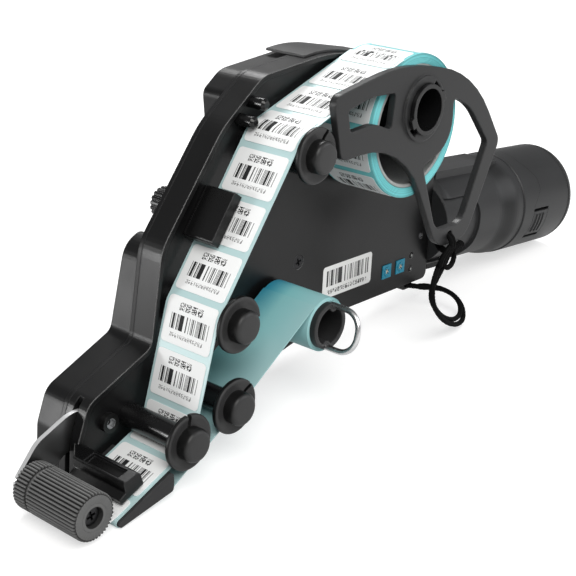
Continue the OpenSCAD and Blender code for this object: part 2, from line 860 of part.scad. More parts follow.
module roller_axle() {
    color("#2a2a2c")
    difference() {
        union() {
            rod(roller_at, axle_head_r, head_seat - 0.2 - axle_head_h, head_seat - 0.2);
            rod(roller_at, axle_r, head_seat - 0.2, arm_y1 + 1);
        }
        for (a = [0, 90])
            slab(head_seat - axle_head_h - 1, head_seat - axle_head_h + 0.9)
                translate(roller_at) rotate(a + 15) square([3.6, 0.9], center = true);
    }
}

// Sprung arm from the pivot bolt, out through the nose's end wall, to the roller's axle
arm_outline = [[-25.5, -32, 6], [-47, -29.6, 14], [-62, -36, 10], [-73, -49, 6], [-66.5, -58, 5], [-57.5, -50, 8],
    [-49.5, -43.5, 8], [-30, -45.5, 6]];

module roller_arm() {
    color("#b4b7ba")
    difference() {
        slab(arm_y0, arm_y1) polygon(rounded(arm_outline));
        rod(pivot_at, pivot_r + run, arm_y0 - 1, arm_y1 + 1);
        rod(roller_at, axle_r + fit, arm_y0 - 1, arm_y1 + 1);
    }
}

bolt_head_r = 3.6;
bolt_head_h = 2.2;
spring_turns = 2.5;
spring_pitch = 1.6;
nut_y = arm_y1 + gap + spring_turns * spring_pitch + 2 * spring_wire_r + gap;
nut_t = 2.4;

module arm_pivot_bolt() {
    color("#9b9da0")
    difference() {
        union() {
            rod(pivot_at, bolt_head_r, -bolt_head_h, 0);
            rod(pivot_at, pivot_r, 0, nut_y + nut_t);
        }
        slab(-bolt_head_h - 1, -0.6) translate(pivot_at) circle(2, $fn = 6);
    }
}

module arm_pivot_nut() {
    color("#9b9da0")
    difference() {
        slab(nut_y, nut_y + nut_t) translate(pivot_at) circle(4.6, $fn = 6);
        rod(pivot_at, pivot_r + fit, nut_y - 1, nut_y + nut_t + 1);
    }
}

module arm_spring() {
    color("#b9bcc0")
    translate([pivot_at.x, arm_y1 + gap + spring_wire_r, pivot_at.y]) rotate([-90, 0, 0])
        coil(pivot_r + 1.4, spring_wire_r, spring_pitch, spring_turns);
}

// Label roll: paper on a card core, hung on the spindle
module label_roll() {
    color("#dfeef0")
    slab(web_near, web_far) translate(roll_at) difference() {
        circle(roll_r, $fn = 96);
        circle(roll_bore_r + roll_core_wall + fit, $fn = 96);
    }
}

module roll_core() {
    color("#8fb9bd")
    slab(web_near, web_far) translate(roll_at) difference() {
        circle(roll_bore_r + roll_core_wall, $fn = 96);
        circle(roll_bore_r, $fn = 96);
    }
}

// Hollow spindle with a bayonet neck
lug_w = 4;
lug_reach = 1.4;
lug_t = 1.6;
lug_angle = 25;
hub_ring = 3;
hub_front = retainer_front - hub_rim;

module lugs(reach, w) {
    for (a = [lug_angle, lug_angle + 180])
        rotate(a) translate([0, -w / 2]) square([reach, w]);
}

module roll_spindle() {
    color("#1d1e20")
    difference() {
        union() {
            rod(spindle_at, spindle_r, web_near, 0);
            rod(spindle_at, neck_r, hub_front - gap - lug_t, web_near);
            slab(hub_front - gap - lug_t, hub_front - gap) translate(spindle_at) intersection() {
                circle(neck_r + lug_reach);
                lugs(neck_r + lug_reach + 1, lug_w);
            }
        }
        rod(spindle_at, spindle_bore_r, hub_front - gap - lug_t - 1, -wall_t);
    }
}

// Retainer: a bent arm with two windows, locked on the spindle's neck by a part turn
retainer_outline = [[44, 74, 4], [50.3, 49.8, 4], [88, 52.8, 44], [117.5, 2, 12], [139, 2, 12], [158.2, 41.5, 5],
    [133, 74, 60], [84, 81.6, 90]];
left_window = [[52.3, 68.3, 1.5], [54.5, 60, 1.5], [69, 61.2, 14], [79.6, 57.3, 1.5], [81, 71.3, 1.5],
    [66, 71.6, 30]];
right_window = [[102.6, 39.2, 1.5], [115.5, 9.6, 9], [135, 9.6, 7], [149.2, 42, 3], [133, 59.5, 30],
    [120.3, 64.5, 1.5], [121.5, 46, 14]];
tip_hole = [126.5, 6];

module roll_retainer() {
    color("#4a4b4e")
    difference() {
        union() {
            slab(retainer_front, retainer_back) difference() {
                polygon(rounded(retainer_outline));
                polygon(rounded(left_window));
                polygon(rounded(right_window));
            }
            rod(spindle_at, hub_r, retainer_front, retainer_back);
            rod(spindle_at, neck_r + hub_ring, hub_front, retainer_front);
        }
        rod(spindle_at, neck_r + run, hub_front - 1, retainer_back + 1);
        slab(hub_front - 1, retainer_back + 1) translate(spindle_at) rotate(retainer_turn)
            lugs(neck_r + lug_reach + gap, lug_w + 2 * gap);
        rod(tip_hole, lanyard_hole_r, hub_front, retainer_back + 1);
    }
}

// Web from the roll to the peel edge, its labels, the label coming off, and the liner going back
module label_web() {
    color("#9fd2d5")
    slab(web_near, web_far)
        polygon(strip(part_of(label_way, label_runs, 0, label_run - 2 * fit), -mid_t, mid_t));
}

// The first label is partly off the peel edge, and the last one shows as far as the roll
label_run = label_runs[len(label_way) - 1];
label_off = 9;
label_fall = 196.5;
label_first = label_run - label_len + label_off;
label_count = ceil(label_first / label_pitch);

module label_strip(pts) {
    slab(label_near, label_far) polygon(strip(pts, -mid_t - label_t - fit / 2, -mid_t - fit / 2));
}

module web_labels() {
    color("#f4f4f2")
    for (i = [1:label_count])
        let (s = label_first - i * label_pitch)
        label_strip(part_of(label_way, label_runs, max(s, gap), s + label_len));
}

module dispensed_label() {
    color("#f4f4f2")
    label_strip([peel_end + (label_len - label_off) * peel_dir, peel_end,
        peel_end + label_off * turn([1, 0], label_fall)]);
}

module liner_web() {
    color("#6fb9be")
    slab(web_near, web_far) polygon(strip(liner_way, -mid_t, mid_t));
}

// Take-up: the core with its wire clip, the wound liner, the driven shaft and its gear
groove_r = clip_wire_r + 0.2;
groove_on = core_r - groove_r + 0.2;
clip_angle = 78;

module take_up_core() {
    color("#4b4c4f")
    slab(core_near, web_far + 1.2) translate(core_at) difference() {
        union() {
            difference() {
                circle(core_r);
                circle(core_r - core_wall);
            }
            intersection() {
                circle(core_r);
                for (s = [-1, 1]) rotate(clip_angle) translate([s * groove_on, 0]) circle(groove_r + 1.2);
            }
        }
        for (s = [-1, 1]) rotate(clip_angle) {
            translate([s * groove_on, 0]) circle(groove_r);
            translate([s * (groove_on + groove_r), 0]) square(2 * groove_r, center = true);
        }
    }
}

module liner_winding() {
    color("#6fb9be")
    slab(web_near, web_far) translate(core_at) difference() {
        circle(winding_r);
        circle(core_r + fit);
    }
}

clip_bend = 5;
clip_leg = 26;

module core_clip() {
    color("#c9ccd0")
    translate([core_at.x, 0, core_at.y]) rotate([0, -clip_angle, 0]) {
        for (s = [-1, 1]) {
            translate([s * groove_on, core_near + clip_leg, 0]) rotate([90, 0, 0])
                cylinder(r = clip_wire_r, h = clip_leg + clip_out - clip_bend - clip_wire_r, $fn = 24);
            translate([s * (groove_on - clip_bend), clip_end + clip_bend + clip_wire_r, 0])
                mirror([s < 0 ? 1 : 0, 0, 0]) rotate([0, 0, -90])
                    rotate_extrude(angle = 90, $fn = 32) translate([clip_bend, 0]) circle(clip_wire_r, $fn = 24);
        }
        translate([-groove_on + clip_bend, clip_end + clip_wire_r, 0]) rotate([0, 90, 0])
            cylinder(r = clip_wire_r, h = 2 * (groove_on - clip_bend), $fn = 24);
    }
}

shaft_r = 4;
spigot_in = groove_on - groove_r - 1.2 - run;
gear_y = plate_t + 1.6;
drive_angle = 80;
gear_pr = gear_m * gear_n / 2;
pinion_pr = gear_m * pinion_n / 2;
motor_at = core_at + (gear_pr + pinion_pr) * turn([1, 0], drive_angle);

// Spur gear with straight flanks, one tooth pointing at angle a
module gear_shape(n, a) {
    r = gear_m * n / 2;
    step = 360 / n;
    tooth = [[r - 1.2 * gear_m, -0.31], [r, -0.215], [r + 0.8 * gear_m, -0.1],
        [r + 0.8 * gear_m, 0.1], [r, 0.215], [r - 1.2 * gear_m, 0.31]];
    polygon([for (i = [0:n - 1], k = tooth) k[0] * turn([1, 0], a + step * (i + k[1]))]);
}

module take_up_shaft() {
    color("#cfd0cd") {
        slab(gear_y, gear_y + gear_w) translate(core_at) gear_shape(gear_n, drive_angle);
        rod(core_at, shaft_r, -gap - 1, gear_y);
        rod(core_at, spigot_in, web_far - 9, -1 - gap);
    }
}

module shaft_bearing() {
    color("#b08d4a")
    difference() {
        union() {
            rod(core_at, bearing_r - fit, -1, gear_y - gap);
            rod(core_at, bearing_r + 1, plate_t, gear_y - gap);
        }
        rod(core_at, shaft_r + run, -2, gear_y);
    }
}

module drive_motor() {
    color("#a9abae") {
        rod(motor_at, motor_r, gear_y + gear_w + 1, cover_back - wall_t);
        rod(motor_at, 1.5, gear_y + 0.5, gear_y + gear_w + 1);
    }
}

module motor_pinion() {
    color("#c8a24a")
    difference() {
        slab(gear_y, gear_y + gear_w) translate(motor_at)
            gear_shape(pinion_n, drive_angle + 180 + 180 / pinion_n);
        rod(motor_at, 1.5 + run, gear_y - 1, gear_y + gear_w + 1);
    }
}

// Circuit board with the trimmers, indicators and set button on it
board_y = 6;
board_t = 1.6;
board_low = [100, -26.5];
board_high = [156, 6];
chip_size = [10, 1.4, 10];
chip_at = board_low + [6, 12.5];
socket_size = [16, 4, 6];
socket_at = board_low + [22, 22.5];
set_r = 1.3;
set_travel = 0.5;

module circuit_board() {
    color("#1f5a37") {
        translate([board_low.x, board_y, board_low.y])
            cube([board_high.x - board_low.x, board_t, board_high.y - board_low.y]);
        translate([chip_at.x, board_y + board_t, chip_at.y]) cube(chip_size);
        translate([socket_at.x, board_y + board_t, socket_at.y]) cube(socket_size);
        for (x = [board_low.x + 4, board_high.x - 4])
            rod([x, board_high.y - 4], 2, plate_t, board_y);
    }
}

rotor_r = 2;
rotor_d = 1.6;

module trimmer_bodies() {
    color("#2a9ec9")
    for (at = trimmers_at)
        difference() {
            slab(-0.4, board_y) translate(at) square(trimmer_w, center = true);
            rod(at, rotor_r + run, -1, rotor_d);
        }
}

module trimmer_rotor(at) {
    color("#e8e2d0")
    difference() {
        rod(at, rotor_r, -0.6, rotor_d - gap / 2);
        for (a = [30, 120])
            slab(-1, 0) translate(at) rotate(a) square([3, 0.7], center = true);
    }
}

module left_trimmer_rotor() {
    trimmer_rotor(trimmers_at[0]);
}

module right_trimmer_rotor() {
    trimmer_rotor(trimmers_at[1]);
}

module indicator_leds() {
    color("#d8dcd8")
    for (at = leds_at)
        turned(at, board_y)
            polygon(concat([[0, 0], [led_r, 0]],
                [for (a = [0:30:90]) [led_r * cos(a), board_y - 0.2 + 0.6 * sin(a)]]));
}

module set_button() {
    color("#55575a") rod(set_at, set_r, 0.4, board_y - set_travel - 0.2);
}

module serial_sticker() {
    color("#e9e9e6")
    slab(-0.15, 0) translate(sticker_at)
        polygon(rounded([[-sticker_w / 2, -sticker_h / 2, 1.5], [sticker_w / 2, -sticker_h / 2, 1.5],
            [sticker_w / 2, sticker_h / 2, 1.5], [-sticker_w / 2, sticker_h / 2, 1.5]]));
}

// Lanyard: an eyelet under the body, a doubled cord, and a knot round the retainer's tip
eyelet_y = 6.5;
eyelet_t = 3;
eyelet_hole_r = 1.6;

module lanyard_eyelet() {
    color("#2b2c2e")
    difference() {
        slab(eyelet_y - eyelet_t / 2, eyelet_y + eyelet_t / 2)
            polygon(rounded([[eyelet_at.x - 4, eyelet_at.y - 5.5, 2.5], [eyelet_at.x + 4, eyelet_at.y - 5.5, 2.5],
                [eyelet_at.x + 4, eyelet_at.y, 0], [eyelet_at.x - 4, eyelet_at.y, 0]]));
        rod(eyelet_at - [0, 3], eyelet_hole_r, eyelet_y - eyelet_t, eyelet_y + eyelet_t);
    }
}

// Route of the cord from the knot to the eyelet
cord_points = [[124.3, -31.2, -6.9], [120.5, -31.7, -10.8], [118.2, -31.7, -16], [119.8, -31.3, -22.5],
    [126, -30.7, -29.5], [134.5, -29.6, -35.3], [144.5, -28, -39.2], [153.5, -25.2, -40], [159.6, -20.8, -37.8],
    [161.6, -15.5, -35], [160.6, -9.8, -33.2], [157.6, -4.6, -32.7], [154.4, -0.4, -32.8], [152.6, 4.2, -33]];
// Half the distance between the two strands
cord_side = 1.3;
// Direction that the cord never runs along, to set its rings by
cord_ref = [0.5, -0.6, 0.6];

function bend_at(i, t) =
    let (
        n = len(cord_points) - 1,
        p0 = cord_points[max(i - 1, 0)],
        p1 = cord_points[i],
        p2 = cord_points[min(i + 1, n)],
        p3 = cord_points[min(i + 2, n)]
    )
    0.5 * (2 * p1 + (p2 - p0) * t + (2 * p0 - 5 * p1 + 4 * p2 - p3) * t * t
        + (3 * p1 - p0 - 3 * p2 + p3) * t * t * t);
cord_curve = concat([for (i = [0:len(cord_points) - 2], t = [0, 1 / 3, 2 / 3]) bend_at(i, t)],
    [cord_points[len(cord_points) - 1]]);
function cord_dir(i) =
    unit(cord_curve[min(i + 1, len(cord_curve) - 1)] - cord_curve[max(i - 1, 0)]);

module cord_tube(side) {
    last = len(cord_curve) - 1;
    rings = [
        for (i = [0:last])
            let (d = cord_dir(i), u = unit(cross(d, cord_ref)), v = cross(d, u))
            [for (k = [0:7]) cord_curve[i] + (side + cord_r * cos(45 * k)) * u + cord_r * sin(45 * k) * v]
    ];
    sides = [
        for (i = [0:last - 1], k = [0:7])
            let (a = 8 * i + k, b = 8 * i + (k + 1) % 8)
            each [[a, a + 8, b + 8], [a, b + 8, b]]
    ];
    caps = [for (k = [1:6]) each [[0, k, k + 1], [8 * last, 8 * last + k + 1, 8 * last + k]]];
    polyhedron([for (ring = rings) each ring], concat(sides, caps));
}

module lanyard_cord() {
    color("#121213") {
        cord_tube(-cord_side);
        cord_tube(cord_side);
    }
}

knot_r = 3;
knot_at = [tip_hole.x, (retainer_front + retainer_back) / 2, tip_hole.y];
knot_loop_r = 4;

module lanyard_knot() {
    color("#121213") {
        translate(knot_at - [0, 0, knot_loop_r]) rotate([0, 90, 0])
            rotate_extrude($fn = 32) translate([knot_loop_r, 0]) circle(cord_r, $fn = 16);
        translate(knot_at - [1, 0, 2 * knot_loop_r + knot_r - 1.2]) sphere(knot_r, $fn = 24);
    }
}

rest() frame_housing();
rest() rear_cover();
rest() top_cover();
rest() housing_screws();
rest() handle_front_shell();
rest() handle_rear_shell();
rest() battery_pack();
rest() battery_cap();
rest() front_latch();
rest() rear_latch();
rest() trigger();
rest() trigger_spring();
rest() trigger_switch();
rest() upper_guide_post();
rest() middle_guide_post();
rest() liner_guide_post();
rest() nose_guide_post();
rest() upper_collar();
rest() middle_collar();
rest() liner_collar();
rest() nose_collar();
rest() web_studs();
rest() sensor_block();
rest() sensor_knob();
rest() hold_down_bar();
rest() peel_plate();
rest() press_roller();
rest() roller_hub();
rest() roller_axle();
rest() roller_arm();
rest() arm_pivot_bolt();
rest() arm_pivot_nut();
rest() arm_spring();
rest() label_roll();
rest() roll_core();
rest() roll_spindle();
rest() roll_retainer();
rest() label_web();
rest() web_labels();
rest() dispensed_label();
rest() liner_web();
rest() liner_winding();
rest() take_up_core();
rest() core_clip();
rest() take_up_shaft();
rest() shaft_bearing();
rest() drive_motor();
rest() motor_pinion();
rest() circuit_board();
rest() trimmer_bodies();
rest() left_trimmer_rotor();
rest() right_trimmer_rotor();
rest() indicator_leds();
rest() set_button();
rest() serial_sticker();
rest() lanyard_eyelet();
rest() lanyard_cord();
rest() lanyard_knot();
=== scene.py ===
"""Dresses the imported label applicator: web, labels, roll, lanyard, collars and finishes on the frame."""

import json
import math

import bpy
import numpy as np
from bpy.props import FloatProperty, FloatVectorProperty, IntProperty, PointerProperty
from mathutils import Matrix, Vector


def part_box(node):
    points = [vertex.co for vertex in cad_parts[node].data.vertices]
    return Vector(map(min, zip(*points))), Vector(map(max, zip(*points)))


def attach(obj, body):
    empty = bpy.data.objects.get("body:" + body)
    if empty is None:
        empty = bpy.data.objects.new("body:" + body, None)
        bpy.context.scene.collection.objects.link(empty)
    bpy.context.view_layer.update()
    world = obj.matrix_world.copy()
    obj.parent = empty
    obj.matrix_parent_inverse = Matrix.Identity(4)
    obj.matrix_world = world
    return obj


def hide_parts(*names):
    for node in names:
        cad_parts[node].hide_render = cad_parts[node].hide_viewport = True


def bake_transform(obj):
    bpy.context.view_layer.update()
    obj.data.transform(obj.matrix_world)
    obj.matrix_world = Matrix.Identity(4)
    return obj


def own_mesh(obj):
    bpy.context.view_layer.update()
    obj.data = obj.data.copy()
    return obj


bl_info = {
    "name": "Label applicator dressing",
    "version": (1, 0, 0),
    "blender": (4, 5, 0),
    "location": "3D View > Sidebar > Applicator",
    "description": "Web, labels, cords and finishes for a handheld label applicator",
    "category": "Object",
}

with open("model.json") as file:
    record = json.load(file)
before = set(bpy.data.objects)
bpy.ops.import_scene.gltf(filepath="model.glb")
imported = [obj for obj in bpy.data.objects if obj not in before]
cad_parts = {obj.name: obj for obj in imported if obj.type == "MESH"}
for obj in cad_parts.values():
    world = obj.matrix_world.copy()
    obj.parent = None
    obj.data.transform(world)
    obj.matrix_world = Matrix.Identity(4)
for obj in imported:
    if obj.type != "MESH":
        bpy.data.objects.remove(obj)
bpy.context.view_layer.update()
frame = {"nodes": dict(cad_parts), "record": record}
NODES = frame["nodes"]
SLOT_OF = {row["node"]: row["material_slot"] for row in frame["record"]["subparts"]}

# Places on the machine in millimetres: x towards the handle, z up, as the part's source has them
UPPER, MIDDLE = (37.5, 54.0), (0.0, 0.0)
LINER, NOSE = (-0.8, -30.9), (-23.6, -37.0)
CORE, ROLLER = (51.0, -14.5), (-65.6, -49.5)
TIP, BACK = (-53.4, -57.2), (-31.0, -52.6)
ROLL, PIVOT = (99.5, 55.1), (-33.4, -36.8)
STICKER = (100.9, -14.5)
TIP_HOLE = (126.5, 6.0)
LEDS = ((147.2, -16.2), (147.2, -22.6))
TRIMMERS = ((128.9, -19.5), (138.9, -19.5))
HANDLE, DROOP = (160.0, 11.0, -4.4), 3.8

# Radii of what the web and the liner run over, and how clear of it they stay
ROLL_R, TAKE_UP_R = 28.3, 11.0
LARGE_POST_R, SMALL_POST_R = 8.0, 4.6
TIP_R, BACK_R = 1.2, 1.6
CLEAR, ROLL_CLEAR = 0.15, 0.3

# The gap between the liner and a label, and how far the front label hangs over the peel edge
GLUE, OVERHANG = 0.025, 9.0

# Planes across the machine, web side negative
WEB_FAR, WEB_NEAR = -2.6, -28.6
WEB_WIDE = WEB_FAR - WEB_NEAR
COLLAR_BACK, CORE_NEAR = -29.3, -31.2
RETAINER_FRONT, RETAINER_BACK = -32.2, -29.2
REAR_FACE = 22.0

# Depths of the finishes' relief and radii of their softened edges, in metres, and the scale of fine grain
FINE, BRUSHED, COARSE, RUBBERY, WOVEN = 0.00004, 0.00003, 0.0001, 0.00005, 0.00012
SOFT_EDGE, FINE_EDGE, KEEN_EDGE = 0.0006, 0.0003, 0.0002
GRAIN = 2400.0

# Angles in degrees from which an edge is sharp: on most pieces, on windings and ribs, and on bent wire
SHARP, BLUNT, ROUND = 38.0, 50.0, 60.0

# The standing pose comes from two round pieces and the rear cover's face
_core = sum(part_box("take_up_core"), Vector()) / 2
_roller = sum(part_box("press_roller"), Vector()) / 2
_drawn = math.atan2(CORE[1] - ROLLER[1], CORE[0] - ROLLER[0])
TILT = _drawn - math.atan2(_core.z - _roller.z, _core.x - _roller.x)
TURN = np.array([[math.cos(TILT), 0, math.sin(TILT)], [0, 1, 0], [-math.sin(TILT), 0, math.cos(TILT)]])
SHIFT = np.array([_core.x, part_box("rear_cover")[1].y - REAR_FACE / 1000, _core.z]) - TURN @ (
    np.array([CORE[0], 0, CORE[1]]) / 1000
)


def stand(points):
    """Machine millimetres to the frame's metres: scaled, tipped by the standing angle, then moved."""
    return np.asarray(points, float) / 1000 @ TURN.T + SHIFT


def spot(x, y, z):
    """One machine point in the frame's metres."""
    return tuple(float(v) for v in stand((x, y, z)))


def on_handle(x, y, z):
    """Places along, beside and over the handle's axis to the machine's: turned by the droop, then moved."""
    c, s = math.cos(math.radians(DROOP)), math.sin(math.radians(DROOP))
    places = HANDLE[0] + x * c + z * s, HANDLE[1] + y, HANDLE[2] + z * c - x * s
    return np.stack(np.broadcast_arrays(*places), -1)


def length_value(name, text, default):
    """A length in metres for a property group."""
    return FloatProperty(name=name, description=text, default=default, unit="LENGTH")


def colour_value(name, text, default):
    """A colour for a property group."""
    return FloatVectorProperty(name=name, description=text, default=default, subtype="COLOR")


class ApplicatorSizes(bpy.types.PropertyGroup):
    """Sizes of the dressing, in metres."""

    label_length: length_value("Label length", "Length of a label along the web", 0.017)
    label_pitch: length_value("Label pitch", "From one label to the next", 0.0195)
    label_corner: length_value("Label corner", "Corner radius of a label", 0.0015)
    label_margin: length_value("Label margin", "Bare liner beside a label", 0.0012)
    liner_thickness: length_value("Liner thickness", "Thickness of the liner", 0.00035)
    label_thickness: length_value("Label thickness", "Thickness of a label", 0.0002)
    cord_radius: length_value("Cord radius", "Radius of one strand of the lanyard", 0.0011)
    ribs: IntProperty(name="Roller ribs", description="Ribs round the press roller", default=40, min=8)
    camera_lens: FloatProperty(
        name="Lens", description="Focal length on a 36 mm sensor, in millimetres", default=80.25
    )


class ApplicatorColours(bpy.types.PropertyGroup):
    """Colours of the dressing."""

    black: colour_value("Black", "Frame and covers", (0.005, 0.005, 0.0053))
    dark: colour_value("Dark", "Posts, sensor and bar", (0.006, 0.006, 0.0063))
    collar: colour_value("Collar", "Collars", (0.035, 0.035, 0.0355))
    handle: colour_value("Handle", "Handle and cap", (0.026, 0.0265, 0.0275))
    retainer: colour_value("Retainer", "Retainer", (0.023, 0.0232, 0.0238))
    rubber: colour_value("Rubber", "Press roller", (0.115, 0.1155, 0.115))
    teal: colour_value("Teal", "Liner", (0.16, 0.52, 0.54))
    # The deep teal is painted shade on the bare liner by the plate
    shade_teal: colour_value("Deep teal", "Liner by the plate", (0.02, 0.26, 0.40))
    pale_teal: colour_value("Pale teal", "Liner under the labels", (0.46, 0.63, 0.637))
    paper: colour_value("Paper", "Labels", (0.86, 0.87, 0.87))
    blue: colour_value("Blue", "Trimmers", (0.012, 0.22, 0.335))


def sizes():
    """The sizes in force."""
    return bpy.context.scene.applicator_sizes


def colours():
    """The colours in force."""
    return bpy.context.scene.applicator_colours


# Shader values


def math_node(operation, flipped=False):
    """A method that adds one math node for a value and another, in this order or flipped."""

    def method(self, other=0.0):
        pair = [other, self] if flipped else [self, other]
        return self.finish.node("ShaderNodeMath", {"operation": operation}, pair)

    return method


class Tint:
    """A shader socket whose sums, products and comparisons add the nodes they need."""

    __add__ = __radd__ = math_node("ADD")
    __mul__, __truediv__ = math_node("MULTIPLY"), math_node("DIVIDE")
    __sub__, __rsub__ = math_node("SUBTRACT"), math_node("SUBTRACT", flipped=True)
    __gt__, __lt__ = math_node("GREATER_THAN"), math_node("LESS_THAN")
    floor, fract, absolute = math_node("FLOOR"), math_node("FRACT"), math_node("ABSOLUTE")
    root, sine = math_node("SQRT"), math_node("SINE")

    def __init__(self, finish, socket):
        self.finish, self.socket = finish, socket

    def between(self, low, high):
        """1 where the value lies between low and high."""
        return (self > low) * (self < high)

    def ramp(self, low, high):
        """The value mapped from a range to 0 and 1, and clamped."""
        return self.finish.node("ShaderNodeMapRange", {"clamp": True}, [self, low, high, 0.0, 1.0])


class Finish:
    """A procedural material on the principled shader."""

    def __init__(self, name, **constants):
        self.material = bpy.data.materials.new(name)
        self.material.use_nodes = True
        self.tree = self.material.node_tree
        self.shader = self.tree.nodes["Principled BSDF"]
        self.feed(**constants)
        self.place = self.node("ShaderNodeTexCoord", {}, {}, "Object")

    def fill(self, socket, value):
        """Sets a socket to a value, or links it."""
        if isinstance(value, Tint):
            self.tree.links.new(value.socket, socket)
        else:
            socket.default_value = value

    def node(self, kind, settings, values, out=0):
        """Adds a node, sets it up, fills its sockets with numbers or links, and returns one output."""
        made = self.tree.nodes.new(kind)
        for key, value in settings.items():
            setattr(made, key, value)
        pairs = values.items() if isinstance(values, dict) else enumerate(values)
        for key, value in pairs:
            self.fill(made.inputs[key], value)
        return Tint(self, made.outputs[out])

    def feed(self, **values):
        """Sets or links sockets of the shader."""
        for key, value in values.items():
            self.fill(self.shader.inputs[key.replace("_", " ")], value)
        return self

    def vector(self, operation, a, b, out=0):
        """Vector maths on two vectors."""
        return self.node("ShaderNodeVectorMath", {"operation": operation}, [a, b], out)

    def parts(self, vector):
        """The three components of a vector."""
        made = self.tree.nodes.new("ShaderNodeSeparateXYZ")
        self.fill(made.inputs[0], vector)
        return [Tint(self, socket) for socket in made.outputs]

    def joined(self, *values):
        """A vector of three values."""
        return self.node("ShaderNodeCombineXYZ", {}, list(values))

    def uv(self):
        """The piece's own map, in millimetres along and across."""
        return self.parts(self.node("ShaderNodeUVMap", {"uv_map": "Flat"}, {}))[:2]

    def off_axis(self, at):
        """Distance in millimetres from an axis across the machine."""
        x, _, z = self.parts(self.vector("SUBTRACT", self.place, spot(at[0], 0, at[1])))
        return (x * x + z * z).root() * 1000.0

    def facing(self):
        """How much the surface faces across the machine, from 0 to 1."""
        return self.parts(self.node("ShaderNodeNewGeometry", {}, {}, "Normal"))[1].absolute()

    def noise(self, scale, detail=2.0, rough=0.5, stretch=None):
        """Cloud noise from 0 to 1, in object coordinates or in those stretched along each axis."""
        place = self.place
        if stretch:
            place = self.node("ShaderNodeMapping", {}, {"Vector": place, "Scale": stretch})
        values = {"Vector": place, "Scale": scale, "Detail": detail, "Roughness": rough}
        return self.node("ShaderNodeTexNoise", {}, values)

    def fibre(self):
        """Fine fibres of a liner."""
        return self.noise(1600.0, 2.0, 0.6, (1.0, 3.0, 1.0))

    def grained(self, rough, scale=45.0, sway=0.16):
        """Fine specks on a slow cloud: both vary the roughness, and are returned for relief and colour."""
        speck, cloud = self.noise(GRAIN), self.noise(scale, 3.0)
        self.feed(Roughness=(cloud - 0.5) * sway + (speck - 0.5) * 0.12 + rough)
        return speck, cloud

    def random(self, vector):
        """A fixed random number from 0 to 1 for each cell."""
        return self.node("ShaderNodeTexWhiteNoise", {"noise_dimensions": "3D"}, {"Vector": vector})

    def mix(self, share, first, second):
        """Two colours mixed by a share."""
        first, second = (c if isinstance(c, Tint) else (*c, 1) for c in (first, second))
        return self.node("ShaderNodeMix", {"data_type": "RGBA"}, {0: share, 6: first, 7: second}, 2)

    def shaded(self, share, colour, low, high):
        """One colour, from darker to lighter by a share."""
        return self.mix(share, scaled(colour, low), scaled(colour, high))

    def rounded(self, radius):
        """Normals as if sharp edges had this radius, in metres."""
        return self.node("ShaderNodeBevel", {"samples": 4}, {"Radius": radius})

    def edge(self, normal):
        """1 along rounded edges and 0 on flat ground: how far the rounded normal leaves the true one."""
        true = self.node("ShaderNodeNewGeometry", {}, {}, "True Normal")
        return self.vector("DOT_PRODUCT", normal, true, "Value").ramp(0.995, 0.86)

    def bump(self, height, strength, normal=None, depth=FINE):
        """Feeds the normal from a height, on top of rounded edges if given."""
        values = {"Strength": strength, "Distance": depth, "Height": height}
        if normal:
            values["Normal"] = normal
        return self.feed(Normal=self.node("ShaderNodeBump", {}, values))


def scaled(colour, factor):
    """A colour made lighter or darker."""
    return tuple(float(c) * factor for c in colour)


def moulded(name, colour, rough=0.45, grain=0.2, edge=0.0005, edge_highlight=1.6, gloss=0.3):
    """Moulded plastic: fine grain on a slow cloud, edges rounded and paler as a painted highlight."""
    f = Finish(name, Specular_IOR_Level=gloss)
    speck, cloud = f.grained(rough)
    normal = f.rounded(edge)
    ground = f.shaded(cloud, colour, 0.82, 1.2)
    # Rounded edges mixed towards a paler colour: a painted highlight
    f.feed(Base_Color=f.mix(f.edge(normal) * 0.7, ground, scaled(colour, edge_highlight)))
    return f.bump(speck, grain, normal).material


# The frame's painted highlight line: its colour, and the planes across the machine between which it fades
HIGHLIGHT_LINE_COLOUR, HIGHLIGHT_LINE_FADE = (0.26, 0.26, 0.26), (3.0, 2.0)


def highlight_lined(name, colour, rough, gloss):
    """Black plastic with a painted highlight line along the edges of its web-side face that look up and
    ahead, where the rounded normal lies between that face's direction and an outward one, near its plane
    only. Rounded edges: painted highlight."""
    f = Finish(name, Specular_IOR_Level=gloss)
    speck, cloud = f.grained(rough)
    normal = f.rounded(SOFT_EDGE)
    x, y, z = f.parts(normal)
    front = y * -1.0
    # Painted highlight line: rounded normals that face up and ahead, near the web-side face
    line = front.ramp(0.3, 0.5) * front.ramp(0.95, 0.85) * ((z - x) * 0.7).ramp(0.15, 0.4)
    behind = (f.parts(f.place)[1] - spot(0, 0, 0)[1]) * 1000.0
    ground = f.shaded(cloud, colour, 0.82, 1.2)
    # Rounded edges paler: a painted highlight
    ground = f.mix(f.edge(normal) * 0.7, ground, scaled(colour, 3.0))
    f.feed(Base_Color=f.mix(line * behind.ramp(*HIGHLIGHT_LINE_FADE), ground, HIGHLIGHT_LINE_COLOUR))
    return f.bump(speck, 0.14, normal).material


def metal(name, colour, rough, along=(1.0, 1.0, 1.0), grain=0.12):
    """Bare metal with brushing stretched along an axis."""
    f = Finish(name, Metallic=1.0)
    brushed = f.noise(900.0, 3.0, 0.6, along)
    f.feed(Base_Color=f.shaded(f.noise(120.0), colour, 0.85, 1.08))
    f.feed(Roughness=(brushed - 0.5) * 0.22 + rough)
    return f.bump(brushed, grain, f.rounded(FINE_EDGE), BRUSHED).material


def plate_metal(name, face, rim):
    """Plate with dark brushed faces and paler cut edges, their own bare metal raised to a painted highlight,
    told apart by the normal across the machine.
    """
    f = Finish(name)
    brushed = f.noise(900.0, 3.0, 0.6, (1.0, 8.0, 12.0))
    faces = f.facing().ramp(0.4, 0.8)
    # The rim colour is the cut edges' paler bare metal, lightened further as a painted highlight
    f.feed(Base_Color=f.mix(faces, rim, face), Metallic=faces * 0.65 + 0.35)
    f.feed(Roughness=(brushed - 0.5) * 0.2 + 0.34)
    return f.bump(brushed, 0.1, f.rounded(FINE_EDGE), BRUSHED).material


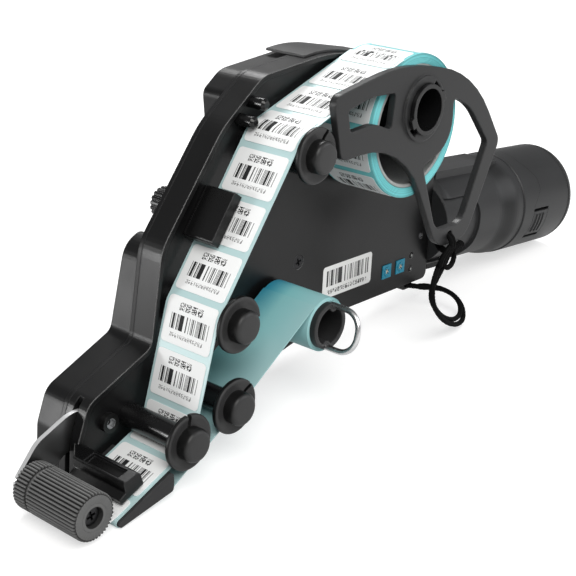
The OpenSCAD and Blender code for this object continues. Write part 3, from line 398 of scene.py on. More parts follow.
def ringed(name, axes, inner, outer, band, rest, rough, metallic=0.0):
    """Turned piece with a band between two radii about the nearest axis, and another colour elsewhere."""
    f = Finish(name, Specular_IOR_Level=0.4)
    share = sum(f.off_axis(at).between(inner, outer) for at in axes)
    speck = f.noise(GRAIN)
    f.feed(Base_Color=f.mix(share, rest, band), Metallic=share * metallic)
    f.feed(Roughness=(speck - 0.5) * 0.1 + rough)
    return f.bump(speck, 0.05, f.rounded(KEEN_EDGE)).material


# Places along the handle's axis: the two fades of the painted shade where the grip flares, the seam, the
# cap's end line and its pale end
FLARE_SHADE_IN, FLARE_SHADE_OUT = (42.0, 47.0), (56.0, 51.0)
SEAM_AT, END_LINE, END_PALE = 70.0, (101.6, 102.2), (102.0, 103.5)
# How far the seam swings, the heights at which it swings out and back, its lowest height and half its width
SWING, SWING_OUT, SWING_BACK, SEAM_LOW, SEAM_HALF = 6.0, (3.0, 10.0), (15.0, 22.0), 2.0, 0.3


def grip(name, colour):
    """Handle plastic: a band of painted shade where the grip flares, rounded edges paler as a painted
    highlight, and on the cap a fine seam that swings out and back, a line by its end and a paler end. The
    band, seam, line and end are placed by the distance along the handle's axis and the height over it, in
    millimetres."""
    f = Finish(name, Specular_IOR_Level=0.3)
    start, end = stand(on_handle(np.array([0.0, 1.0]), 0.0, 0.0))
    ahead = unit(end - start)
    here = f.vector("SUBTRACT", f.place, tuple(start))
    along, up, aside = (
        f.vector("DOT_PRODUCT", here, axis, "Value") * 1000.0
        for axis in (tuple(ahead), (-ahead[2], 0.0, ahead[0]), (0.0, 1.0, 0.0))
    )
    flare_shade = along.ramp(*FLARE_SHADE_IN) * along.ramp(*FLARE_SHADE_OUT)
    seam = along - up.ramp(*SWING_OUT) * SWING + up.ramp(*SWING_BACK) * SWING - SEAM_AT
    line = (seam.absolute() < SEAM_HALF) * (up > SEAM_LOW) * (aside < 0.0) + along.between(*END_LINE)
    speck, cloud = f.grained(0.4, sway=0.14)
    normal = f.rounded(SOFT_EDGE)
    ground = f.shaded(cloud, colour, 0.85, 1.15)
    # Rounded edges paler: a painted highlight
    ground = f.mix(f.edge(normal) * 0.6, ground, scaled(colour, 1.8))
    # Where the grip flares, darker: painted shade
    ground = f.mix(flare_shade * 0.65, ground, scaled(colour, 0.3))
    ground = f.mix(along.ramp(*END_PALE) * 0.5, ground, scaled(colour, 2.0))
    f.feed(Base_Color=f.mix(line * 0.85, ground, scaled(colour, 0.12)))
    return f.bump(speck - line * 6.0, 0.16, normal).material


def rubber(name, colour, at, root, crown):
    """Matt rubber with a fine grain, with painted shade at the root of its ribs that fades out towards their
    crowns, by the distance from its axis."""
    f = Finish(name, Specular_IOR_Level=0.35)
    speck, cloud = f.noise(3000.0), f.noise(140.0, 3.0)
    far = f.off_axis(at)
    groove = far.between(root - 0.1, crown) * far.ramp(crown, root)
    # The roots of the ribs darkened: painted shade
    f.feed(Base_Color=f.mix(groove, f.shaded(cloud, colour, 0.8, 1.2), scaled(colour, 0.08)))
    f.feed(Roughness=(speck - 0.5) * 0.2 + 0.68)
    return f.bump(speck, 0.35, depth=RUBBERY).material


def carrier_finish(name, colour):
    """Glassine liner under the labels: one colour with faint fibre and a soft gloss."""
    f = Finish(name, Specular_IOR_Level=0.45, Base_Color=(*colour, 1))
    fibre = f.fibre()
    f.feed(Roughness=(fibre - 0.5) * 0.1 + 0.36)
    return f.bump(fibre, 0.08).material


# Where the painted shade on the bare liner darkens and then turns blue along its run, and that blue shade's
# fade away from the plate
SHADE_DEEPENS, SHADE_BLUES, BLUE_SHADE_FADE = (35.0, 125.0), (90.0, 120.0), (11.0, 1.0)


def bare_finish(name, tone, runs):
    """Bare liner with painted shade: pale at the open edge and darker by the plate, by the place across the
    machine.
    A strip that runs also darkens along its map, up to the blue painted shade that the winding has all round."""
    f = Finish(name, Specular_IOR_Level=0.4)
    across = (spot(0, WEB_FAR, 0)[1] - f.parts(f.place)[1]) * 1000.0
    deepening_shade = blue_shade = 1.0
    if runs:
        along = f.uv()[0]
        deepening_shade, blue_shade = along.ramp(*SHADE_DEEPENS), along.ramp(*SHADE_BLUES)
    cloud, fibre = f.noise(70.0, 3.0), f.fibre()
    # Painted shade: darker towards the plate, and along the run
    depth = across.ramp(WEB_WIDE, 0.0) * 0.55 + deepening_shade * 0.45 + (cloud - 0.5) * 0.2
    colour = f.mix(depth, tone.pale_teal, tone.teal)
    # Blue painted shade near the plate
    colour = f.mix(across.ramp(*BLUE_SHADE_FADE) * blue_shade * 0.9, colour, tone.shade_teal)
    f.feed(Base_Color=colour, Roughness=(fibre - 0.5) * 0.1 + 0.4)
    return f.bump(fibre, 0.08).material


class Print:
    """Rows of ink on a map of a given length and width, in boxes that are shares of those."""

    def __init__(self, finish, along, across, length, width):
        self.finish, self.along, self.across = finish, along, across
        self.length, self.width = length, width

    def inside(self, a0, a1, c0, c1):
        """1 inside a box."""
        rows = self.along.between(self.length * a0, self.length * a1)
        return rows * self.across.between(self.width * c0, self.width * c1)

    def bars(self, box, step):
        """Plain bars: random cells across, dark where the cell's number is high."""
        cell = (self.across / step).floor()
        return (self.finish.random(self.finish.joined(cell, 3.0, 1.0)) > 0.54) * self.inside(*box)

    def marks(self, box, step, pitch, share, level):
        """Plain marks: random square cells in blocks at a pitch, each block filling a share of it."""
        row, column = (self.along / step).floor(), (self.across / step).floor()
        dark = self.finish.random(self.finish.joined(row, column, 7.0)) > level
        block = ((self.across - self.width * box[2]) / pitch).fract() < share
        return dark * block * self.inside(*box)


# Boxes of the label's bars, marks and faint row, in shares of its length and width, and the ink's colour
BARS, MARKS = (0.36, 0.69, 0.12, 0.90), (0.11, 0.27, 0.26, 0.74)
FAINT = (0.77, 0.86, 0.16, 0.84)
INK = (0.02, 0.02, 0.021)


def print_finish(name, paper, length, width):
    """White label stock printed with a row of marks, a row of bars and a faint row, all cells of its map."""
    f = Finish(name, Specular_IOR_Level=0.2)
    rows = Print(f, *f.uv(), length, width)
    ink = rows.bars(BARS, 0.25)
    ink = ink + rows.marks(MARKS, 0.3, 2.9, 0.84, 0.42)
    ink = ink + rows.marks(FAINT, 0.3, 1.25, 0.76, 0.44) * 0.75
    fibre = f.noise(1900.0, 3.0)
    stock = f.shaded(f.noise(90.0), paper, 0.97, 1.0)
    f.feed(Base_Color=f.mix(ink, stock, INK))
    f.feed(Roughness=ink * 0.12 + (fibre - 0.5) * 0.12 + 0.5)
    return f.bump(fibre, 0.06).material


# Surfaces


def placed(name, data):
    """An object for a mesh, a lamp or a camera, linked to the scene."""
    made = bpy.data.objects.new(name, data)
    bpy.context.scene.collection.objects.link(made)
    return made


class Skin:
    """Closed surfaces in machine millimetres, gathered into one mesh, each turned to face outwards."""

    def __init__(self):
        self.points, self.faces, self.maps, self.count = [], [], [], 0

    def add(self, points, faces, flat=None):
        """Adds one closed surface; its volume by the divergence theorem tells which way it faces."""
        volume = 0.0
        for loops in faces:
            p = points[loops]
            volume += np.einsum("fk,fjk->", p[:, 0], np.cross(p[:, 1:-1], p[:, 2:]))
        for loops in faces:
            self.faces.append((loops if volume > 0 else loops[:, ::-1]) + self.count)
        self.points.append(points)
        self.maps.append(np.zeros((len(points), 2)) if flat is None else flat)
        self.count += len(points)
        return self

    def grid(self, points, flat=None, round_rows=False):
        """Adds a tube: rows of points along it, each row a closed loop; open tubes get an end face each."""
        n, m = points.shape[:2]
        i = np.arange(n if round_rows else n - 1)[:, None]
        j = np.arange(m)[None, :]
        i1, j1 = (i + 1) % n, (j + 1) % m
        corners = np.broadcast_arrays(i * m + j, i * m + j1, i1 * m + j1, i1 * m + j)
        faces = [np.stack(corners, -1).reshape(-1, 4)]
        if not round_rows:
            faces += [np.arange(m)[None, ::-1], np.arange(m)[None, :] + (n - 1) * m]
        return self.add(points.reshape(-1, 3), faces, None if flat is None else flat.reshape(-1, 2))

    def piece(self, name, material, body, slot, nodes=(), sharp=SHARP):
        """Makes the mesh object, at the origin, riding on a body and standing for CAD nodes."""
        mesh = bpy.data.meshes.new(name)
        points = stand(np.concatenate(self.points))
        mesh.from_pydata(points, [], [face for loops in self.faces for face in loops.tolist()])
        layer = mesh.uv_layers.new(name="Flat")
        corner = np.empty(len(mesh.loops), np.int32)
        mesh.loops.foreach_get("vertex_index", corner)
        layer.data.foreach_set("uv", np.concatenate(self.maps)[corner].astype(np.float32).ravel())
        mesh.shade_smooth()
        mesh.set_sharp_from_angle(angle=math.radians(sharp))
        mesh.materials.append(material)
        made = placed(name, mesh)
        if body:
            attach(made, body)
        if nodes:
            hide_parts(*nodes)
        return made


def unit(vectors):
    """Vectors at length one."""
    return vectors / np.linalg.norm(vectors, axis=-1)[..., None]


def run_along(points):
    """The distance along a line of points, from 0 at the first."""
    return np.concatenate([[0], np.cumsum(np.linalg.norm(np.diff(points, axis=0), axis=1))])


def full_turn(steps):
    """Angles of equal steps round a circle."""
    return np.linspace(0, 2 * math.pi, steps, endpoint=False)


def heading(a):
    """Directions of length one at angles in a plane."""
    return np.stack([np.cos(a), np.sin(a)], -1)


def about(at, r, a, y):
    """Points at a radius and an angle about an axis across the machine."""
    return np.stack(np.broadcast_arrays(at[0] + r * np.cos(a), y, at[1] + r * np.sin(a)), -1)


def ring(skin, at, y_base, profile, steps):
    """A closed profile of radius and height carried round an axis, height towards the web side."""
    r, h = np.asarray(profile, float).T[:, None, :]
    return skin.grid(about(at, r, full_turn(steps)[:, None], y_base - h), round_rows=True)


def carried(path):
    """Two side vectors along a path: the first is moved along and kept square to each new direction."""
    ahead = unit(np.gradient(path, axis=0))
    side = np.cross(ahead[0], (0.31, -0.58, 0.75))
    sides = np.empty_like(path)
    for i, d in enumerate(ahead):
        side = unit(side - d * (side @ d))
        sides[i] = side
    return sides, np.cross(ahead, sides)


def swept(skin, path, radius, around, twist=0.0, lay=0.0):
    """A round bar along a path; lay adds a three-strand ripple that turns with the distance."""
    path = np.asarray(path, float)
    u, v = (side[:, None, :] for side in carried(path))
    run = run_along(path)[:, None]
    a = full_turn(around)[None, :]
    radius = np.broadcast_to(np.asarray(radius, float).reshape(-1, 1), (len(path), 1))
    r = radius * (1 + lay * np.cos(3 * (a + twist * run)))
    points = path[:, None, :] + (r * np.cos(a))[..., None] * u + (r * np.sin(a))[..., None] * v
    return skin.grid(points, np.stack(np.broadcast_arrays(run, a * radius), -1))


def smooth(points, steps=8):
    """A curve through points: each span is the cubic whose slopes come from its neighbours."""
    p = np.asarray(points, float)
    p = np.concatenate([p[:1], p, p[-1:]])
    t = np.arange(steps)[None, :, None] / steps
    p0, p1, p2, p3 = (p[k : len(p) - 3 + k][:, None, :] for k in range(4))
    square, cube = 2 * p0 - 5 * p1 + 4 * p2 - p3, 3 * p1 - p0 - 3 * p2 + p3
    curve = 0.5 * (2 * p1 + (p2 - p0) * t + square * t**2 + cube * t**3)
    return np.concatenate([curve.reshape(-1, p.shape[1]), p[-1:]])


# The web's way in the plane of the plate


def left_of(d):
    """A direction turned a quarter to the left."""
    return np.stack([-d[..., 1], d[..., 0]], -1)


def touch(a, b):
    """The straight line that touches two guide circles: each end is a radius from its centre, on its side."""
    (ca, ra, sa), (cb, rb, sb) = a, b
    span = np.subtract(cb, ca)
    lean = -math.asin((sb * rb - sa * ra) / np.hypot(*span))
    side = left_of(unit(span * math.cos(lean) + left_of(span) * math.sin(lean)))
    return ca - sa * ra * side, cb - sb * rb * side


def around(station, start, end, step=3.0):
    """The arc on a guide circle from one touching point to the next, in steps of so many degrees."""
    centre, r, side = np.array(station[0]), station[1], station[2]
    a0, a1 = (math.atan2(*(p - centre)[::-1]) for p in (start, end))
    sweep = (side * (a1 - a0)) % (2 * math.pi)
    n = max(2, math.ceil(math.degrees(sweep) / step))
    return centre + r * heading(a0 + side * sweep * np.linspace(0, 1, n))


def way(stations, first_arc=None):
    """Straight lines and arcs over the stations, with the run along them."""
    lines = [touch(a, b) for a, b in zip(stations, stations[1:])]
    bits = [first_arc if first_arc is not None else lines[0][0][None]]
    for k in range(1, len(stations) - 1):
        bits.append(around(stations[k], lines[k - 1][1], lines[k][0]))
    bits.append(lines[-1][1][None])
    points = np.concatenate(bits)
    points = points[np.append(True, np.diff(run_along(points)) > 1e-6)]
    return points, run_along(points)


def web_ways():
    """The label web's way from the roll to the peel edge, and the liner's way from there to the take-up."""
    half = sizes().liner_thickness * 500
    lift = CLEAR + half
    tip = (TIP, TIP_R + lift, 1)
    labels = way([
        (ROLL, ROLL_R + ROLL_CLEAR + half, 1),
        (UPPER, LARGE_POST_R + lift, 1),
        (MIDDLE, LARGE_POST_R + lift, 1),
        (NOSE, SMALL_POST_R + lift + sizes().label_thickness * 1000, -1),
        tip,
    ])
    stations = [tip, (BACK, BACK_R + lift, 1), (LINER, SMALL_POST_R + lift, 1), (CORE, TAKE_UP_R + half, -1)]
    first = around(tip, labels[0][-1], touch(*stations[:2])[0])
    return labels, way(stations, first)


def strip(skin, line, ends, faces, edges, corner=0.0, samples=48, within=None):
    """A strip on a way between two ends of its run: the way's points moved sideways to two faces, between
    two edges across the machine. With a corner radius the edges draw in over that distance at both ends,
    as a quarter circle does, and the part outside a given range is cut off square."""
    (points, run), (s0, s1), (low, high), (near, far) = line, ends, faces, edges
    if corner:
        q = corner * (1 - np.cos(np.linspace(0, math.pi / 2, 7)))
        s = np.concatenate([s0 + q, np.linspace(s0 + corner, s1 - corner, samples)[1:-1], s1 - q[::-1]])
    else:
        s = np.unique(np.concatenate([np.linspace(s0, s1, samples), run[(run > s0) & (run < s1)]]))
    if within:
        s = np.unique(np.clip(s, *within))
    centre = np.stack([np.interp(s, run, points[:, k]) for k in (0, 1)], -1)
    side = left_of(unit(np.gradient(centre, s, axis=0)))
    away = np.clip(corner - np.minimum(s - s0, s1 - s), 0, corner)
    draw = corner - np.sqrt(np.maximum(corner**2 - away**2, 0))
    across = np.stack([near + draw, near + draw, far - draw, far - draw], -1)
    plane = centre[:, None, :] + np.array([low, high, high, low])[None, :, None] * side[:, None, :]
    flat = np.stack([np.broadcast_to((s - s0)[:, None], across.shape), far - across], -1)
    return skin.grid(np.stack([plane[..., 0], across, plane[..., 1]], -1), flat)


def stepped(outer, inner, count, sink):
    """The end face of a winding: radius and height of its turns, every second one sunk."""
    height = np.where(np.arange(count) % 2, WEB_WIDE - sink, WEB_WIDE)
    return np.stack([np.linspace(outer, inner, count), height], -1)


def label_layout():
    """Where the labels start along the way: the first is part over the peel edge, the rest a pitch apart."""
    run = web_ways()[0][1][-1]
    length, pitch = sizes().label_length * 1000, sizes().label_pitch * 1000
    first = run - length + OVERHANG
    return first, length, pitch, int(math.ceil(first / pitch))


# Operators


class APPLICATOR_OT_stage(bpy.types.Operator):
    """Pale floor, white surround, soft lamps and the camera"""

    bl_idname = "applicator.stage"
    bl_label = "Stage"

    # Name, place, size, power and colour of each lamp, and the point that they look at
    LAMPS = (
        ("key", (-0.55, -0.75, 1.05), 0.9, 13.5, (1.0, 0.99, 0.97)),
        ("fill", (0.75, -0.85, 0.65), 0.9, 5.0, (0.97, 0.98, 1.0)),
        ("top", (0.50, 0.60, 1.02), 0.45, 10.0, (1.0, 1.0, 1.0)),
        ("rim", (-1.0, 0.75, 0.12), 0.3, 4.5, (1.0, 1.0, 1.0)),
    )
    MIDST = (0, 0, 0.05)
    CAMERA, AZIMUTH, ELEVATION = (-0.38921, -0.30245, 0.24454), -49.12, 23.56
    # Rings of the floor, the points on each, and how far it lies below the part, in metres
    RINGS, SIDES, BELOW = (0.001, 0.5, 2.0, 8.0), 64, 0.0002
    # Greys of the floor's paper and of its own glow, and the distances between which the glow grows white
    PAPER, GLOW, WHITE, GLOW_FADE = (0.55, 0.55, 0.55, 1), (0.58, 0.58, 0.58), (1.0, 1.0, 1.0), (0.5, 1.6)
    # Strength of the surround, and what each kind of ray adds to it
    AMBIENT = 0.36
    RAYS = (("Is Camera Ray", 0.64), ("Is Transmission Ray", 0.64), ("Is Glossy Ray", -0.16))

    def execute(self, context):
        scene = context.scene
        scene.view_settings.view_transform = "Standard"
        self.floor()
        self.surround(scene)
        for name, place, size, power, colour in self.LAMPS:
            lamp = bpy.data.lights.new(name, "AREA")
            lamp.shape, lamp.size, lamp.energy, lamp.color = "DISK", size, power, colour
            self.hang(lamp, place, Vector(self.MIDST) - Vector(place))
        lens = bpy.data.cameras.new("camera")
        lens.sensor_width, lens.lens = 36.0, sizes().camera_lens
        lens.clip_start, lens.clip_end = 0.01, 20.0
        azimuth, elevation = math.radians(self.AZIMUTH), math.radians(self.ELEVATION)
        level = math.cos(elevation)
        look = Vector((-math.sin(azimuth) * level, math.cos(azimuth) * level, -math.sin(elevation)))
        scene.camera = self.hang(lens, self.CAMERA, look)
        return {"FINISHED"}

    def hang(self, data, place, look):
        """A lamp or a camera at a place, looking along a direction."""
        made = placed(data.name, data)
        made.location = place
        made.rotation_euler = look.to_track_quat("-Z", "Y").to_euler()
        return made

    def floor(self):
        """A wide disc: rows of rings round the middle, closed by a small face at its centre."""
        n = self.SIDES
        a = full_turn(n)
        r = np.array(self.RINGS)[:, None]
        points = np.stack(np.broadcast_arrays(r * np.cos(a), r * np.sin(a), r * 0 - self.BELOW), -1)
        i, j = np.arange(len(r) - 1)[:, None] * n, np.arange(n)[None, :]
        k = (j + 1) % n
        quads = np.stack(np.broadcast_arrays(i + j, i + n + j, i + n + k, i + k), -1)
        mesh = bpy.data.meshes.new("floor")
        mesh.from_pydata(points.reshape(-1, 3), [], [list(range(n))] + quads.reshape(-1, 4).tolist())
        f = Finish("floor_paper", Roughness=0.9, Specular_IOR_Level=0.0, Base_Color=self.PAPER)
        path = f.tree.nodes.new("ShaderNodeLightPath")
        seen = Tint(f, path.outputs["Is Camera Ray"]) + Tint(f, path.outputs["Is Glossy Ray"]) * 0.3
        x, y, _ = f.parts(f.place)
        glow = f.mix((x * x + y * y).root().ramp(*self.GLOW_FADE), self.GLOW, self.WHITE)
        f.feed(Emission_Color=f.mix(seen, (0.0, 0.0, 0.0), glow), Emission_Strength=1.0)
        mesh.materials.append(f.material)
        placed("floor", mesh)

    def surround(self, scene):
        """White to the camera, a plain grey light otherwise, and darker still in reflections."""
        world = bpy.data.worlds.new("surround")
        world.use_nodes = True
        tree = world.node_tree
        ground = tree.nodes["Background"]
        path = tree.nodes.new("ShaderNodeLightPath")
        level = None
        for ray, share in self.RAYS:
            term = tree.nodes.new("ShaderNodeMath")
            term.operation = "MULTIPLY_ADD"
            term.inputs[1].default_value, term.inputs[2].default_value = share, self.AMBIENT
            tree.links.new(path.outputs[ray], term.inputs[0])
            if level:
                tree.links.new(level.outputs[0], term.inputs[2])
            level = term
        tree.links.new(level.outputs[0], ground.inputs["Strength"])
        ground.inputs["Color"].default_value = (1, 1, 1, 1)
        scene.world = world


class APPLICATOR_OT_lanyard(bpy.types.Operator):
    """Doubled cord from the eyelet to the retainer's tip, with its knot"""

    bl_idname = "applicator.lanyard"
    bl_label = "Lanyard"

    # Route from the knot to the eyelet, and the strands' distance from it
    ROUTE = [
        (124.3, -31.2, -6.9), (120.5, -31.7, -10.8), (118.2, -31.7, -16), (119.8, -31.3, -22.5),
        (126, -30.7, -29.5), (134.5, -29.6, -35.3), (144.5, -28, -39.2), (153.5, -25.2, -40),
        (159.6, -20.8, -37.8), (161.6, -15.5, -35), (160.6, -9.8, -33.2), (157.6, -4.6, -32.7),
        (154.4, -0.4, -32.8), (152.6, 4.2, -33),
    ]
    ASIDE = 1.3
    REFERENCE = (0.5, -0.6, 0.6)
    # Up to the first point the loop stays with the machine, from the second on it follows the retainer's tip
    SLACK, TIED = (142.0, -31.0, -38.0), (118.0, -31.0, -10.0)
    # Sides, twist and ripple of a strand, and those of the bound end
    STRAND, BINDING = (14, 1.1, 0.05), (18, 1.6, 0.06)
    # The knot's curves, counted from the tip's hole: the drawn cords with their spread, the small loop and
    # the bound end, then the radius of the loops in the hole, their places aside and the bound end's radius
    DRAWN = [
        (-0.2, -3.2, -4.4), (-2.6, -3.3, -6.4), (-4.0, -2.8, -9.0), (-3.6, -1.8, -11.8), (-2.4, -0.6, -13.2),
    ]
    SPREAD = (1.2, 1.8, 2.0, 1.7, 1.1)
    SMALL = [
        (-2.8, -1.7, -12.6), (-0.6, -2.3, -14.2), (2.4, -2.2, -13.6), (4.5, -1.8, -11.4), (4.8, -1.5, -9.0),
        (3.9, -1.5, -7.4),
    ]
    BOUND = [(2.6, -1.7, -7.9), (4.9, -1.6, -7.0), (7.4, -1.5, -6.4), (9.6, -1.4, -6.1)]
    LOOP_R, LOOPS_ASIDE, BOUND_R = 3.6, (-1.16, 0.56), 1.6
    # Shares of the strand's radius in the loops and the drawn cords, and the bound end's windings and ripple
    LOOP_SHARE, DRAWN_SHARE, WINDINGS, RIPPLE = 0.94, 1.04, 6, 0.12

    def execute(self, context):
        radius = sizes().cord_radius * 1000
        finish = self.braid()
        route = smooth(self.ROUTE)
        aside = unit(np.cross(np.gradient(route, axis=0), self.REFERENCE))
        knot = self.knot(finish, radius)
        for name, sign in (("left_strand", -1), ("right_strand", 1)):
            path = (route + sign * self.ASIDE * aside)[::-1]
            strand = swept(Skin(), path, radius, *self.STRAND)
            strand = strand.piece(name, finish, None, "cord_black", ("lanyard_cord",))
            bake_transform(strand)
        return {"FINISHED"}

    def braid(self):
        """Black braided cord: crossing diagonal waves of its map."""
        f = Finish("braided_cord", Specular_IOR_Level=0.08, Roughness=0.8)
        along, across = f.uv()
        waves = [(along * 5.5 + across * k).sine() for k in (2.2, -2.2)]
        weave = (waves[0] * waves[1] + 1.0) * 0.5
        f.feed(Base_Color=f.mix(weave, (0.001, 0.001, 0.001), (0.006, 0.006, 0.0063)))
        return f.bump(weave, 0.5, depth=WOVEN).material

    def knot(self, finish, radius):
        """Doubled loop through the hole, three cords drawn together below it, a small loop and a bound end:
        round bars along circles and curves."""
        hole = np.array([TIP_HOLE[0], (RETAINER_FRONT + RETAINER_BACK) / 2, TIP_HOLE[1]])
        skin = Skin()
        a = np.linspace(-0.5 * math.pi, 1.5 * math.pi, 49)
        for aside in self.LOOPS_ASIDE:
            loop = np.stack([0 * a + aside, self.LOOP_R * np.cos(a), self.LOOP_R * (np.sin(a) - 1)], -1)
            swept(skin, hole + loop, radius * self.LOOP_SHARE, *self.STRAND)
        spread = np.array(self.SPREAD)[:, None] * (1, 0, 0)
        for k in (-1, 0, 1):
            drawn = smooth(hole + self.DRAWN + k * spread)
            swept(skin, drawn, radius * self.DRAWN_SHARE, *self.STRAND)
        swept(skin, smooth(hole + self.SMALL), radius, *self.STRAND)
        bound = smooth(hole + self.BOUND)
        ripple = self.RIPPLE * np.cos(np.linspace(0, 2 * math.pi * self.WINDINGS, len(bound)))
        swept(skin, bound, self.BOUND_R + ripple, *self.BINDING)
        return skin.piece("cord_knot", finish, "retainer", "cord_black", ("lanyard_knot",))


class APPLICATOR_OT_web(bpy.types.Operator):
    """Label web, its labels, the label coming off and the bare liner"""

    bl_idname = "applicator.web"
    bl_label = "Web"

    # Direction of the label that comes off, in degrees, and the reach of its bend to both sides of the edge
    FALL, BEND = 196.5, 1.2

    def execute(self, context):
        size, tone = sizes(), colours()
        half, thick = size.liner_thickness * 500, size.label_thickness * 1000
        corner, margin = size.label_corner * 1000, size.label_margin * 1000
        edges = (WEB_NEAR + margin, WEB_FAR - margin)
        faces = (-half - thick - GLUE, -half - GLUE)
        liner = {"faces": (-half, half), "edges": (WEB_NEAR, WEB_FAR), "samples": 120}
        web, back = web_ways()
        end = web[1][-1]
        carrier = carrier_finish("label_liner", tone.pale_teal)
        strip(Skin(), web, (0.0, end - 0.1), **liner).piece(
            "label_web_strip", carrier, "machine", "liner_teal", ("label_web",)
        )
        first, length, pitch, count = label_layout()
        stock = print_finish("printed_label", tone.paper, length, edges[1] - edges[0])
        labels = Skin()
        for k in range(1, count + 1):
            s = first - k * pitch
            strip(labels, web, (s, s + length), faces, edges, corner, within=(0.3, end))
        labels.piece("label_row", stock, "machine", "label_paper", ("web_labels",))
        bare = bare_finish("bare_liner", tone, True)
        strip(Skin(), back, (0.0, back[1][-1]), **liner).piece(
            "liner_strip", bare, "machine", "liner_teal", ("liner_web",)
        )
        front = self.coming_off(web[0], length)
        strip(Skin(), front, (0.0, front[1][-1]), faces, edges, corner).piece(
            "front_label", stock, "machine", "label_paper", ("dispensed_label",)
        )
        return {"FINISHED"}

    def coming_off(self, points, length):
        """The front label's way: straight on the peel face, a short curve, then straight off the edge."""
        end = points[-1]
        ahead = unit(end - points[-2])
        off = heading(math.radians(self.FALL))
        before, after = end - self.BEND * ahead, end + self.BEND * off
        t = np.linspace(0, 1, 9)[:, None]
        bend = (1 - t) ** 2 * before + 2 * t * (1 - t) * end + t**2 * after
        line = np.concatenate([[end - (length - OVERHANG) * ahead], bend, [end + OVERHANG * off]])
        return line, run_along(line)


class APPLICATOR_OT_label_roll(bpy.types.Operator):
    """Wound label roll, the labels on its outside and its card core"""

    bl_idname = "applicator.label_roll"
    bl_label = "Label roll"

    # Radii inside the winding, outside the card and of the card's bore, and the turns that the end face shows
    INNER, CARD, BORE, TURNS = 24.45, 24.4, 23.0, 17
    # How far the winding's edges stay below its end, how far in its end face begins, how deep every second
    # turn is sunk, and the card's rounded lip
    SHOULDER, INSET, SINK, LIP = 0.1, 0.05, 0.18, 0.3
    # The labels' faces below and over the winding, and the most labels that go round it
    FACES, MOST = (-0.2, -0.02), 9

    def execute(self, context):
        tone = colours()
        high = WEB_WIDE - self.SHOULDER
        face = stepped(ROLL_R - self.INSET, self.INNER + self.INSET, self.TURNS, self.SINK)
        outside, inside = [(ROLL_R, 0), (ROLL_R, high)], [(self.INNER, high), (self.INNER, 0)]
        ring(Skin(), ROLL, WEB_FAR, np.concatenate([outside, face, inside]), 192).piece(
            "label_winding", self.wound(tone), "label_supply", "roll_paper", ("label_roll",), BLUNT
        )
        low = WEB_WIDE - self.LIP
        card = [
            (self.CARD, 0), (self.CARD, low), (self.CARD - self.LIP, WEB_WIDE),
            (self.BORE + self.LIP, WEB_WIDE), (self.BORE, low), (self.BORE, 0),
        ]
        ring(Skin(), ROLL, WEB_FAR, card, 128).piece(
            "card_core", self.card(), "label_supply", "core_card", ("roll_core",)
        )
        self.labels(tone)
        return {"FINISHED"}

    def labels(self, tone):
        """Labels from the one that crosses to the web backwards: strips on the roll's circle."""
        first, length, pitch, count = label_layout()
        corner, margin = sizes().label_corner * 1000, sizes().label_margin * 1000
        edges = (WEB_NEAR + margin, WEB_FAR - margin)
        start = web_ways()[0][0][0] - ROLL
        reach = 2 * math.pi * ROLL_R
        s = np.linspace(0, reach, 361)
        a = math.atan2(start[1], start[0]) - (reach - s) / ROLL_R
        circle = ROLL + ROLL_R * heading(a)
        skin = Skin()
        for k in range(count, count + self.MOST):
            at = reach + first - k * pitch
            ends, within = (at, at + length), (0.0, reach - 0.2)
            if at > 1.0:
                strip(skin, (circle, s), ends, self.FACES, edges, corner, within=within)
        stock = print_finish("printed_roll_label", tone.paper, length, edges[1] - edges[0])
        skin.piece("roll_labels", stock, "label_supply", "label_paper")

    def wound(self, tone):
        """Teal rings: bands of the distance from the roll's axis, each a little different."""
        f = Finish("wound_labels", Specular_IOR_Level=0.4)
        band = (f.off_axis(ROLL) * 2.8).floor()
        shade = f.random(f.joined(band, 2.0, 5.0))
        f.feed(Base_Color=f.shaded(shade, tone.teal, 0.85, 1.25), Roughness=shade * 0.2 + 0.45)
        return f.bump(shade, 0.3, depth=COARSE).material

    def card(self):
        """Grey card with fibres."""
        f = Finish("core_card", Specular_IOR_Level=0.3)
        fibre = f.noise(900.0, 4.0, 0.65)
        f.feed(Base_Color=f.mix(fibre, (0.24, 0.25, 0.25), (0.44, 0.45, 0.44)))
        f.feed(Roughness=(fibre - 0.5) * 0.2 + 0.75)
        return f.bump(fibre, 0.2, depth=COARSE).material


class APPLICATOR_OT_take_up(bpy.types.Operator):
    """Liner wound on the take-up core, and the core's wire clip"""

    bl_idname = "applicator.take_up"
    bl_label = "Take-up"

    # Radii of the winding, the turns that its end face shows, and how deep every second one is sunk
    OUTER, INNER, TURNS, SINK = 10.7, 9.25, 7, 0.2
    # How far the clip stands out and reaches in, half its width, its bend, its wire, and its turn in degrees
    OUT, LEG, REACH, BEND, WIRE, TURN = 13.0, 26.0, 8.2, 7.2, 1.15, 78

    def execute(self, context):
        face = stepped(self.OUTER, self.INNER, self.TURNS, self.SINK)
        profile = np.concatenate([[(self.OUTER, 0)], face, [(self.INNER, 0)]])
        # The winding takes the bare liner's painted shade, darker and blue by the plate all round
        wound = bare_finish("wound_liner", colours(), False)
        ring(Skin(), CORE, WEB_FAR, profile, 128).piece(
            "liner_on_core", wound, "take_up", "liner_teal", ("liner_winding",), BLUNT
        )
        self.clip()
        return {"FINISHED"}

    def clip(self):
        """A wire loop: two straight legs joined by quarter circles and a straight end, as one round bar."""
        end = CORE_NEAR - self.OUT
        centre = (self.REACH - self.BEND, end + self.BEND)
        corner = centre + self.BEND * heading(-np.linspace(0, math.pi / 2, 13))
        leg = np.append(CORE_NEAR + self.LEG, np.linspace(CORE_NEAR, end + self.BEND + 0.4, 6))
        half = np.concatenate([np.stack([np.full(len(leg), self.REACH), leg], -1), corner])
        x, y = np.concatenate([half, half[::-1] * (-1, 1)]).T
        wire = metal("clip_wire", (0.86, 0.865, 0.87), 0.3, grain=0.05)
        swept(Skin(), about(CORE, x, math.radians(self.TURN), y), self.WIRE, 20).piece(
            "wire_clip", wire, "clip", "spring_steel", ("core_clip",), ROUND
        )


